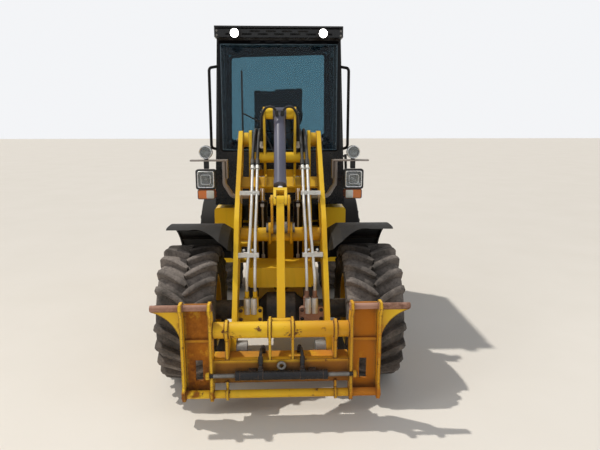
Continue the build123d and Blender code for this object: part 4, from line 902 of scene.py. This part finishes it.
def addLiftTube(sideName, side):
    # steel tube along the front of a lift cylinder's barrel, with a port at each end
    footX, footY, footZ = liftTube["foot"]
    foot, run = Vector((side * footX, footY, footZ)), Vector(liftTube["run"])
    low, high = liftTube["low"], liftTube["high"]
    bm = bmesh.new()
    line = [foot + run * s + Vector((0, -0.044, 0)) for s in (low, 0.2, 0.35, high)]
    addTube(bm, smoothPath(line, 4), liftTube["radius"], 10)
    for s in (low, high):
        addBox(bm, foot + run * s + Vector((0, -0.036, 0)), (0.024, 0.03, 0.026), 0.003)
    nutFitting(bm, foot + run * high + Vector((0, -0.048, 0)), (0, -1, 0.1), nutRadius["lift"])
    makeObject(f"{sideName}_liftTube", bm, "pipe_zinc", "lift_barrels")


def addJointHoses():
    # slack hoses over the frame joint
    for k, x in enumerate((0.098, 0.126, -0.098, -0.126)):
        z = 0.655 + 0.03 * (k % 2)
        points = [(x, at(0.641), z), (x, at(0.70), z + 0.004), (x * 1.15, at(0.80), z - 0.02),
                  (x * 1.2, at(0.90), z - 0.035), (x * 1.1, at(1.0), z - 0.015), (x, at(1.05), z),
                  (x, at(1.079), z)]
        hose(f"jointHose{k + 1}", points, hoseRadius["joint"],
             span=("front_frame", "rear_frame", (x, at(0.70), z), (x, at(1.03), z)))


for adder in (addArmHoses, addTiltHose, addLiftTube):
    for sideName, side in sides:
        adder(sideName, side)
addJointHoses()
print("stage: hoses")


# Rounded rectangular shells, for lamps and window seals


def ringPoints(halfW, halfH, corner, depth, steps=6):
    points = []
    for quarter, (sx, sz) in enumerate(((1, 1), (-1, 1), (-1, -1), (1, -1))):
        for step in range(steps + 1):
            a = math.pi / 2 * (quarter + step / steps)
            points.append(Vector((sx * (halfW - corner) + corner * math.cos(a), depth,
                                  sz * (halfH - corner) + corner * math.sin(a))))
    return points


def addShell(bm, rings, centre, turn=None, close=False):
    # rings: (half width, half height, corner radius, depth); depth runs inwards along local Y
    made = []
    for ring in rings:
        points = ringPoints(*ring)
        if turn:
            points = [turn @ point for point in points]
        made.append([bm.verts.new(Vector(centre) + point) for point in points])
    skin(bm, made, close)


def addSquareShell(bm, rings, centre, close=False):
    # rings: (half size, corner radius, depth)
    addShell(bm, [(half, half, corner, depth) for half, corner, depth in rings], centre, close=close)


def faceTurn(facing, lean=0.0):
    # local -Y looks outwards; the top leans inwards by an angle in degrees
    spin = {"front": 0, "left": 90, "rear": 180, "right": -90}[facing]
    return Matrix.Rotation(math.radians(spin), 3, "Z") @ Matrix.Rotation(math.radians(-lean), 3, "X")


# Lamps

headlamp = {"x": 0.523, "z": 1.247, "front": 0.395, "half": 0.071, "deep": 0.083, "corner": 0.016}
workLamp = {"x": 0.520, "z": 1.436, "front": 0.405, "radius": 0.047, "deep": 0.065}
roofLamp = {"x": 0.327, "z": 2.284, "front": 0.760, "backX": 0.360, "backZ": 2.306, "back": 2.001}
signal = {"x": 0.523, "paleX": 0.495, "front": 0.400, "z": 1.1408}
tailLamp = {"x": 0.455, "back": 2.5755, "z": 0.895}


def lampPieces(lamp, housing, bezel, bowl, lens):
    shell = makeObject(lamp + "Housing", housing, "black_plastic", "front_frame")
    makeObject(lamp + "Bezel", bezel, "lamp_white", "front_frame", mat=bezelSilver)
    makeObject(lamp + "Bowl", bowl, "lamp_white", "front_frame", smooth=60.0, mat=chrome)
    makeObject(lamp + "Lens", lens, "lamp_white", "front_frame")
    return shell


def addHeadlamps():
    h, deep, c = headlamp["half"], headlamp["deep"], headlamp["corner"]
    housing, bezel, bowl, lens, bulb = (bmesh.new() for _ in range(5))
    for side in (1, -1):
        centre = (side * headlamp["x"], at(headlamp["front"]), headlamp["z"])
        addSquareShell(housing, [
            (h - 0.016, 0.012, deep), (h - 0.004, c, deep - 0.014), (h, c, deep * 0.45), (h, c, 0.003),
            (h - 0.002, c - 0.001, 0.0), (h - 0.013, c - 0.004, 0.0), (h - 0.015, c - 0.004, 0.008),
            (h - 0.016, c - 0.004, deep - 0.018)], centre)
        for rib in range(4):
            place = (centre[0] - 0.045 + rib * 0.03, at(headlamp["front"] + deep - 0.006), headlamp["z"])
            addBox(housing, place, (0.005, 0.012, 0.08), 0.001)
        addBox(housing, (side * 0.5225, at(0.455), 1.345), (0.035, 0.030, 0.054), 0.003)
        # outer and inner silver ring
        addSquareShell(bezel, [
            (h - 0.012, c - 0.002, 0.0), (h - 0.012, c - 0.002, -0.003), (h - 0.014, c - 0.003, -0.0055),
            (h - 0.018, c - 0.005, -0.0045), (h - 0.020, c - 0.006, 0.002)], centre, close=True)
        addSquareShell(bezel, [
            (0.034, 0.014, 0.0), (0.034, 0.014, -0.0035), (0.0315, 0.012, -0.0035), (0.0315, 0.012, 0.0)],
            centre, close=True)
        addSquareShell(bowl, [
            (h - 0.018, 0.010, 0.006), (0.048, 0.020, 0.012), (0.044, 0.038, 0.020), (0.030, 0.0299, 0.036),
            (0.012, 0.0119, 0.046), (0.012, 0.0119, 0.049), (0.033, 0.0329, 0.039), (h - 0.017, 0.010, 0.012)],
            centre, close=True)
        addSquareShell(lens, [
            (h - 0.0195, 0.010, 0.004), (h - 0.0195, 0.010, 0.000), (h - 0.028, 0.012, -0.0022),
            (0.022, 0.012, -0.0028)], centre)
        lathe(bulb, [(0.046, 0.0125), (0.030, 0.0125), (0.024, 0.010), (0.020, 0.004)], centre, (0, 1, 0),
              steps=20)
    shell = lampPieces("headlamp", housing, bezel, bowl, lens)
    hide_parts("headlamps")
    makeObject("headlampBulb", bulb, "chrome_rod", "front_frame")


def addWorkLamps():
    r, deep = workLamp["radius"], workLamp["deep"]
    housing, bezel, bowl, lens = (bmesh.new() for _ in range(4))
    back = (0, 1, 0)
    for side in (1, -1):
        centre = (side * workLamp["x"], at(workLamp["front"]), workLamp["z"])
        lathe(housing, [(deep, r * 0.55), (deep - 0.004, r * 0.72), (deep - 0.016, r * 0.9), (deep - 0.032, r),
                        (0.003, r), (0.0, r - 0.002), (0.0, r - 0.005), (0.006, r - 0.006),
                        (deep - 0.012, r * 0.6)], centre, back)
        for k in range(8):
            a = 2 * math.pi * k / 8
            place = (centre[0] + 0.030 * math.cos(a), at(workLamp["front"] + deep - 0.006),
                     centre[2] + 0.030 * math.sin(a))
            addBox(housing, place, (0.005, 0.014, 0.012), 0.001)
        lathe(housing, [(0.0, 0.014), (0.013, 0.014)], (centre[0], at(0.44), 1.382), (0, 0, 1), steps=20)
        lathe(bezel, [(0.001, r - 0.001), (-0.004, r - 0.002), (-0.0055, r - 0.005), (-0.003, r - 0.008),
                      (0.003, r - 0.007)], centre, back, close=True)
        lathe(bowl, [(0.006, r - 0.007), (0.018, 0.031), (0.032, 0.018), (0.036, 0.004), (0.039, 0.005),
                     (0.035, 0.020), (0.020, 0.034), (0.009, r - 0.006)], centre, back, close=True)
        lathe(lens, [(0.003, r - 0.008), (-0.001, r - 0.009), (-0.004, 0.026), (-0.0052, 0.010)], centre, back)
    shell = lampPieces("workLamp", housing, bezel, bowl, lens)
    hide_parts("work_lamps")


def addRoofLamps():
    rim, lit, lens = bmesh.new(), bmesh.new(), bmesh.new()
    into, outOfBack = (0, 1, 0), (0, 1, -0.1)
    for side in (1, -1):
        front = (side * roofLamp["x"], at(roofLamp["front"]), roofLamp["z"])
        lathe(rim, [(0.002, 0.036), (-0.004, 0.0355), (-0.006, 0.033), (-0.004, 0.031), (0.002, 0.031)],
              front, into, close=True)
        for k in range(5):
            addBox(rim, (front[0], front[1] + 0.010 + k * 0.0062, front[2]), (0.078, 0.0025, 0.050), 0.001)
        lathe(lit, [(0.001, 0.0305), (-0.002, 0.0300), (-0.0045, 0.020), (-0.0052, 0.006)], front, into, steps=32)
        back = (side * roofLamp["backX"], at(roofLamp["back"]), roofLamp["backZ"])
        lathe(rim, [(-0.002, 0.034), (0.004, 0.0335), (0.006, 0.031), (0.004, 0.029), (-0.002, 0.029)],
              back, outOfBack, close=True)
        lathe(lens, [(-0.001, 0.0285), (0.003, 0.028), (0.005, 0.015), (0.0055, 0.005)], back, outOfBack, steps=32)
    makeObject("roofLampRims", rim, "black_plastic", "rear_frame")
    makeObject("roofLampLit", lit, "lamp_white", "rear_frame", mat=litLamp)
    makeObject("roofLampLens", lens, "lamp_white", "rear_frame")


def addFrontSignals():
    pale, rim = bmesh.new(), bmesh.new()
    for side in (1, -1):
        addShell(rim, [(0.061, 0.0335, 0.011, 0.004), (0.061, 0.0335, 0.011, -0.003),
                       (0.057, 0.0295, 0.009, -0.003), (0.057, 0.0295, 0.009, 0.002)],
                 (side * signal["x"], at(signal["front"]), signal["z"]), close=True)
        addShell(pale, [(0.026, 0.028, 0.007, 0.002), (0.026, 0.028, 0.007, -0.004),
                        (0.022, 0.024, 0.006, -0.0055)],
                 (side * signal["paleX"], at(signal["front"]), signal["z"]))
    makeObject("signalFrames", rim, "black_plastic", "front_frame")
    makeObject("signalPale", pale, "lamp_white", "front_frame", mat=tintedLens("paleLens", (0.78, 0.78, 0.74)))


def addTailLamps():
    red, amber, clear, rim = (bmesh.new() for _ in range(4))
    for side in (1, -1):
        for bm, offset, halfW in ((red, 0.048, 0.030), (amber, -0.010, 0.026), (clear, -0.058, 0.020)):
            addShell(bm, [(halfW, 0.035, 0.007, 0.003), (halfW, 0.035, 0.007, -0.002),
                          (halfW - 0.003, 0.032, 0.006, -0.0045)],
                     (side * (tailLamp["x"] + offset), at(tailLamp["back"]), tailLamp["z"]), faceTurn("rear"))
        addShell(rim, [(0.081, 0.0415, 0.010, 0.002), (0.081, 0.0415, 0.010, -0.0035),
                       (0.078, 0.0385, 0.008, -0.0035), (0.078, 0.0385, 0.008, 0.001)],
                 (side * tailLamp["x"], at(tailLamp["back"]), tailLamp["z"]), faceTurn("rear"), close=True)
    makeObject("tailRed", red, "lamp_red", "rear_frame")
    makeObject("tailAmber", amber, "lamp_amber", "rear_frame")
    makeObject("tailClear", clear, "lamp_white", "rear_frame")
    makeObject("tailRims", rim, "black_plastic", "rear_frame")


addHeadlamps()
addWorkLamps()
addRoofLamps()
addFrontSignals()
addTailLamps()
print("stage: lamps")


# The bonded windscreen and the rubber seals round the panes

cab = {"sill": 0.985, "tall": 1.285, "half": (0.522, -0.046), "front": (0.900, 0.022), "rear": (1.975, -0.045)}
screen = {"z": 1.832, "proud": 0.0052, "lean": 0.98, "clearLow": 1.425, "clearHigh": 2.225, "clearHalf": 0.448}
seal = {"wide": 0.019, "out": 0.0035, "deep": 0.020}
# name, body, wall, place behind the axle, height, half width, half height, lean, corner radius
panes = (
    ("rearWindowSeal", "rear_frame", "rear", None, 1.8525, 0.414, 0.3625, 2.0, 0.03),
    ("rightWindowSeal", "rear_frame", "right", 1.3475, 1.7725, 0.3725, 0.4425, 2.05, 0.03),
    ("rightQuarterSeal", "rear_frame", "right", 1.82, 1.7725, 0.050, 0.4425, 2.05, 0.02),
    ("leftQuarterSeal", "rear_frame", "left", 1.82, 1.7725, 0.050, 0.4425, 2.05, 0.02),
    ("doorGlassSeal", "cab_door", "left", 1.3475, 1.7065, 0.3165, 0.4565, 2.05, 0.03),
)


def cabWall(wall, z):
    # the cab narrows and leans with height
    sill, change = cab[wall]
    return sill + change * (z - cab["sill"]) / cab["tall"]


def bandedGlass():
    # clear in the middle, with a black printed border
    s = Shader("bandedGlass")
    edge = s.zone((None, None, screen["clearLow"]), (screen["clearHalf"], None, screen["clearHigh"]), 0.006, True)
    smear = s.span(s.spots(2.2, 5.0, 0.6), 0.42, 0.75, 0.0, 0.10)
    clear = s.mix(smear, (0.31, 0.45, 0.55), (0.36, 0.37, 0.38))
    s.set(Base_Color=s.mix(edge, (0.004, 0.004, 0.005), clear))
    s.set(Transmission_Weight=edge, Roughness=0.0, IOR=glass["ior"])
    return s.mat


def addScreen():
    z = screen["z"]
    bm = bmesh.new()
    addShell(bm, [(0.474, 0.420, 0.035, 0.0050), (0.476, 0.422, 0.036, 0.0040), (0.476, 0.422, 0.036, 0.0008),
                  (0.474, 0.420, 0.035, 0.0)],
             (0, at(cabWall("front", z)) - screen["proud"], z), faceTurn("front", screen["lean"]))
    makeObject("bondedScreen", bm, "cab_glass", "rear_frame", smooth=30.0, mat=bandedGlass())


def addSeal(name, body, wall, behind, z, halfW, halfH, lean, corner):
    w, out, deep = seal["wide"], seal["out"], seal["deep"]
    section = ((-0.004, 0.0, -out * 0.4), (0.002, 0.0, -out), (w * 0.45, 0.004, -out * 0.2),
               (w * 0.55, 0.005, -out * 0.2), (w - 0.003, 0.008, -out * 0.8), (w, 0.010, 0.002), (w, 0.010, deep),
               (-0.001, 0.0, deep))
    rings = [(halfW - inset, halfH - inset, corner - less, depth) for inset, less, depth in section]
    centre = (0, at(cabWall("rear", z)), z)
    if wall != "rear":
        centre = (cabWall("half", z) * (1 if wall == "left" else -1), at(behind), z)
    bm = bmesh.new()
    addShell(bm, rings, centre, faceTurn(wall, lean), close=True)
    makeObject(name, bm, "black_rubber", body, smooth=50.0)


addScreen()
for pane in panes:
    addSeal(*pane)
print("stage: seals")


# Weld beads round the bars and tubes

bead = {"thick": 0.0042, "ripple": 0.0009, "uneven": 0.0004, "step": 0.0042, "least": 40, "facets": 6}
# bars: place behind the axle, height and radius
hitchTube, hitchLowBar, hitchTopBar = (-0.575, 0.527, 0.045), (-0.615, 0.165, 0.023), (-0.615, 0.672, 0.017)
armTube, towerTube, towerPin = (0.055, 0.925, 0.045), (0.480, 1.395, 0.038), (0.500, 1.520, 0.050)
# each seam: distance from the middle, the side of the plate it lies on, and its bar
hitchSeams = [[(x, side, hitchTube)] for x, side in
              ((0.376, -1), (0.3088, 1), (0.2908, -1), (0.0708, 1), (0.0558, -1))]
hitchSeams += [[(x, side, hitchLowBar), (x, side, hitchTopBar)] for x, side in
               ((0.530, -1), (0.394, 1), (0.376, -1), (0.548, 1))]
armSeams = [[(0.260, -1, armTube)]]
towerSeams = [[(0.196, -1, towerTube), (0.216, 1, towerPin)]]


def addBead(bm, x, behind, z, radius, side):
    # a rippled fillet where a round bar along X meets a plate
    count = max(bead["least"], int(2 * math.pi * radius / bead["step"]) * 2)
    rings = []
    for k in range(count):
        a = 2 * math.pi * k / count
        thick = bead["thick"] + bead["ripple"] * (1 if k % 2 else -1)
        thick += random.uniform(-bead["uneven"], bead["uneven"])
        ring = []
        for j in range(bead["facets"]):
            b = 2 * math.pi * j / bead["facets"]
            out = radius + thick * 0.6 * math.cos(b)
            ring.append(bm.verts.new((x + side * (thick * 0.3 + thick * 0.8 * math.sin(b)),
                                      at(behind) + out * math.cos(a), z + out * math.sin(a))))
        rings.append(ring)
    skin(bm, rings, close=True)


def addWelds(name, seams, slot, body):
    bm = bmesh.new()
    for group in seams:
        for sign in (1, -1):
            for x, side, bar in group:
                addBead(bm, sign * x, *bar, side * sign)
    makeObject(name, bm, slot, body)


random.seed(11)
addWelds("hitchWelds", hitchSeams, "worn_yellow", "quick_hitch")
addWelds("armWelds", armSeams, "yellow_paint", "boom")
addWelds("towerWelds", towerSeams, "yellow_paint", "front_frame")
print("stage: welds")


# Small metal pieces

nippleSize = 0.0045
nipple = turnedPiece("nipplePrimitive", (
    (6, [(0.0, 0.9), (0.6, 0.9)]),
    (12, [(0.6, 0.5), (1.2, 0.5), (1.4, 0.38), (1.6, 0.38), (1.8, 0.55), (2.0, 0.5), (2.2, 0.25)]),
))
nippleRows = (
    ("towerNipples", "front_frame", [(0.2975, at(0.512), 1.512), (0.128, at(0.451), 1.712)]),
    ("hitchNipples", "hitch_pins", [(0.3165, at(-0.430), 0.352)]),
    ("leverNipples", "lever_pin", [(0.0825, at(-0.020), 0.992)]),
)
stepStud = {"size": 0.0052, "heights": (0.346, 0.604), "across": (0.585, 0.612, 0.639, 0.666),
            "along": (1.062, 1.090, 1.118, 1.146, 1.174, 1.202)}
lock = {"x": 0.115, "y": at(-0.633), "z": 0.284, "rod": 0.0124}
sleeve = [(0.0, 0.0185), (0.002, 0.0205), (0.030, 0.0205), (0.031, 0.0196), (0.035, 0.0196), (0.036, 0.0205),
          (0.070, 0.0205), (0.072, 0.0197), (0.090, 0.0197), (0.096, 0.0170)]


def addSmallMetal():
    for name, body, spots in nippleRows:
        repeatPiece(name, nipple, nippleSize, bothSides([(spot, outwards) for spot in spots]), "pin_steel", body)
    studs = [((side * x, at(b), z), upwards) for side in (1, -1) for z in stepStud["heights"]
             for x in stepStud["across"] for b in stepStud["along"]]
    repeatPiece("stepStuds", bolt, stepStud["size"], studs, "black_paint", "rear_frame")


def addRing(bm, centre, axis, radius, thick, steps=28, facets=8):
    along = Vector(axis).normalized()
    one = along.orthogonal().normalized()
    two = along.cross(one)
    rings = []
    for k in range(steps):
        a = 2 * math.pi * k / steps
        out = one * math.cos(a) + two * math.sin(a)
        ring = []
        for j in range(facets):
            b = 2 * math.pi * j / facets
            wide, high = radius + thick * math.cos(b), thick * math.sin(b)
            ring.append(bm.verts.new(Vector(centre) + out * wide + along * high))
        rings.append(ring)
    skin(bm, rings, close=True)


def addLockFittings():
    y, z = lock["y"], lock["z"]
    steel = bmesh.new()
    for x in (-lock["x"], lock["x"]):
        addBox(steel, (x, y + 0.004, z + 0.030), (0.030, 0.030, 0.018), 0.003)
        nutFitting(steel, (x, y + 0.006, z + 0.038), (0, 0.25, 1), nutRadius["lock"])
        nutFitting(steel, (x * 0.9, at(-0.520), 0.3875), (0, 1, 0), nutRadius["lock"])
        addBox(steel, (x * 0.9, at(-0.512), 0.374), (0.03, 0.024, 0.024), 0.003)
    makeObject("lockFittings", steel, "dark_cylinder", "quick_hitch")
    for number, x in enumerate((-lock["x"], lock["x"])):
        points = [(x, y + 0.012, z + 0.062), (x, y + 0.020, z + 0.085), (x * 0.99, at(-0.600), 0.398),
                  (x * 0.95, at(-0.570), 0.405), (x * 0.92, at(-0.545), 0.396), (x * 0.9, at(-0.524), 0.3875)]
        hose(f"lockHose{number + 1}", points, hoseRadius["lock"], "quick_hitch")


def addHitchFittings():
    addLockFittings()
    eye = bmesh.new()
    addRing(eye, (0.0, at(-0.6225), 0.334), (0, 1, 0), 0.0185, 0.0085)
    makeObject("plateEye", eye, "pin_steel", "quick_hitch")
    rods = bmesh.new()
    for side in (1, -1):
        lathe(rods, [(0.255, 0.0120), (0.256, lock["rod"]), (0.374, lock["rod"])], (0, lock["y"], lock["z"]),
              (side, 0, 0), steps=24)
    makeObject("lockRods", rods, "chrome_rod", "quick_hitch", mat=mats["pin_steel"])
    sleeves = bmesh.new()
    for side in (1, -1):
        for lane in (0.166, 0.206):
            lathe(sleeves, sleeve, (side * lane, at(-0.270), 0.502), (0, 0, 1), steps=28)
    makeObject("couplerSleeves", sleeves, "pipe_zinc", "boom")


# Wire meshes of the engine hood

wire = {"thick": 0.0016, "pitch": 0.012}


def addWires(bm, start, step, count, size):
    for k in range(count):
        addBox(bm, [place + k * wire["pitch"] * move for place, move in zip(start, step)], size)


def addGrille():
    thick = wire["thick"]
    bm = bmesh.new()
    addWires(bm, (-0.252, at(2.530), 1.145), (1, 0, 0), 43, (thick, thick, 0.262))
    addWires(bm, (0, at(2.5316), 1.018), (0, 0, 1), 22, (0.51, thick, thick))
    makeObject("grilleMesh", bm, "black_paint", "engine_hood", smooth=0)
    bm = bmesh.new()
    for sign in (1, -1):
        addWires(bm, (sign * 0.4285, at(2.116), 1.19), (0, 1, 0), 25, (thick, thick, 0.150))
        addWires(bm, (sign * 0.4269, at(2.262), 1.124), (0, 0, 1), 12, (thick, 0.300, thick))
    makeObject("sideMesh", bm, "black_paint", "engine_hood", smooth=0)


addSmallMetal()
addHitchFittings()
addGrille()
print("stage: fittings")


# Seat: two pads swollen by a cloth simulation

pads = {"voxel": 0.006, "cap": 0.014, "frames": 20, "bulge": 0.004, "fit": 0.0005}
padCloth = {"quality": 5, "mass": 0.3, "tension_stiffness": 18, "compression_stiffness": 18,
            "bending_stiffness": 1.2, "use_pressure": True, "uniform_pressure_force": 4.0}
channel = {"cushionX": 0.135, "backX": 0.140, "reach": 0.014, "deep": 0.007, "thinReach": 0.013, "thinDeep": 0.006}


def solveCloth(obj):
    # the pad swells for some frames, and no point goes further than the cap
    scene = bpy.context.scene
    rest = [v.co.copy() for v in obj.data.vertices]
    cloth = obj.modifiers.new("cloth", "CLOTH")
    for key, value in padCloth.items():
        setattr(cloth.settings, key, value)
    cloth.settings.effector_weights.gravity = 0.0
    cloth.collision_settings.use_collision = False
    cloth.collision_settings.use_self_collision = False
    for step in range(1, pads["frames"] + 1):
        scene.frame_set(step)
    done = obj.evaluated_get(bpy.context.evaluated_depsgraph_get())
    placed = [v.co.copy() for v in done.data.vertices]
    obj.modifiers.clear()
    scene.frame_set(1)
    for vertex, start, end in zip(obj.data.vertices, rest, placed):
        move = end - start
        if move.length > pads["cap"]:
            move = move.normalized() * pads["cap"]
        vertex.co = start + move


def modified(obj, kind, **settings):
    mod = obj.modifiers.new(kind.lower(), kind)
    for key, value in settings.items():
        setattr(mod, key, value)
    made = bpy.data.meshes.new_from_object(obj.evaluated_get(bpy.context.evaluated_depsgraph_get()))
    obj.modifiers.clear()
    old = obj.data
    obj.data = made
    bpy.data.meshes.remove(old)


def addPad(name, node, shrink, bevel, channels):
    # channels: (axis, place, depth, reach) of the sewn lines
    low, high = (Vector(c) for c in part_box(node))
    middle = (low + high) / 2
    bm = bmesh.new()
    addBox(bm, middle, high - low - Vector(shrink) * 2, bevel)
    bmesh.ops.triangulate(bm, faces=bm.faces[:])
    obj = makeObject(name, bm, "seat_fabric", "rear_frame", smooth=0)
    modified(obj, "REMESH", mode="VOXEL", voxel_size=pads["voxel"], use_smooth_shade=True)
    modified(obj, "SMOOTH", factor=0.5, iterations=8)
    solveCloth(obj)
    for vertex in obj.data.vertices:
        for axis, value, deep, reach in channels:
            gap = abs(vertex.co[axis] - value)
            if gap < reach:
                pull = deep * (1 - (gap / reach) ** 2) ** 2
                vertex.co += (middle - vertex.co).normalized() * pull
    modified(obj, "SUBSURF", levels=1, render_levels=1)
    obj.data.shade_smooth()
    obj.data.materials.clear()
    obj.data.materials.append(mats["seat_fabric"])
    bulge, fit = pads["bulge"], pads["fit"]
    for vertex in obj.data.vertices:
        vertex.co.x = min(max(vertex.co.x, low.x - bulge), high.x + bulge)
        vertex.co.y = min(max(vertex.co.y, low.y + fit), high.y - fit)
        vertex.co.z = min(max(vertex.co.z, low.z + fit), high.z + bulge)
    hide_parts(node)


def addSeat():
    deep, reach = channel["deep"], channel["reach"]
    thin, thinReach = channel["thinDeep"], channel["thinReach"]
    low, high = (Vector(c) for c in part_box("seat_cushion"))
    middle, x = (low + high) / 2, channel["cushionX"]
    addPad("seatCushionPad", "seat_cushion", (0.012, 0.012, 0.012), 0.032,
           [(0, -x, deep, reach), (0, x, deep, reach), (1, middle.y - 0.02, thin, thinReach),
            (1, middle.y + 0.09, thin, thinReach)])
    low, high = (Vector(c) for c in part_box("seat_back"))
    x = channel["backX"]
    addPad("seatBackPad", "seat_back", (0.012, 0.010, 0.014), 0.034,
           [(0, -x, deep, reach), (0, x, deep, reach), (2, low.z + 0.17, thin, thinReach),
            (2, low.z + 0.32, thin, thinReach)])


addSeat()
print("stage: seat")
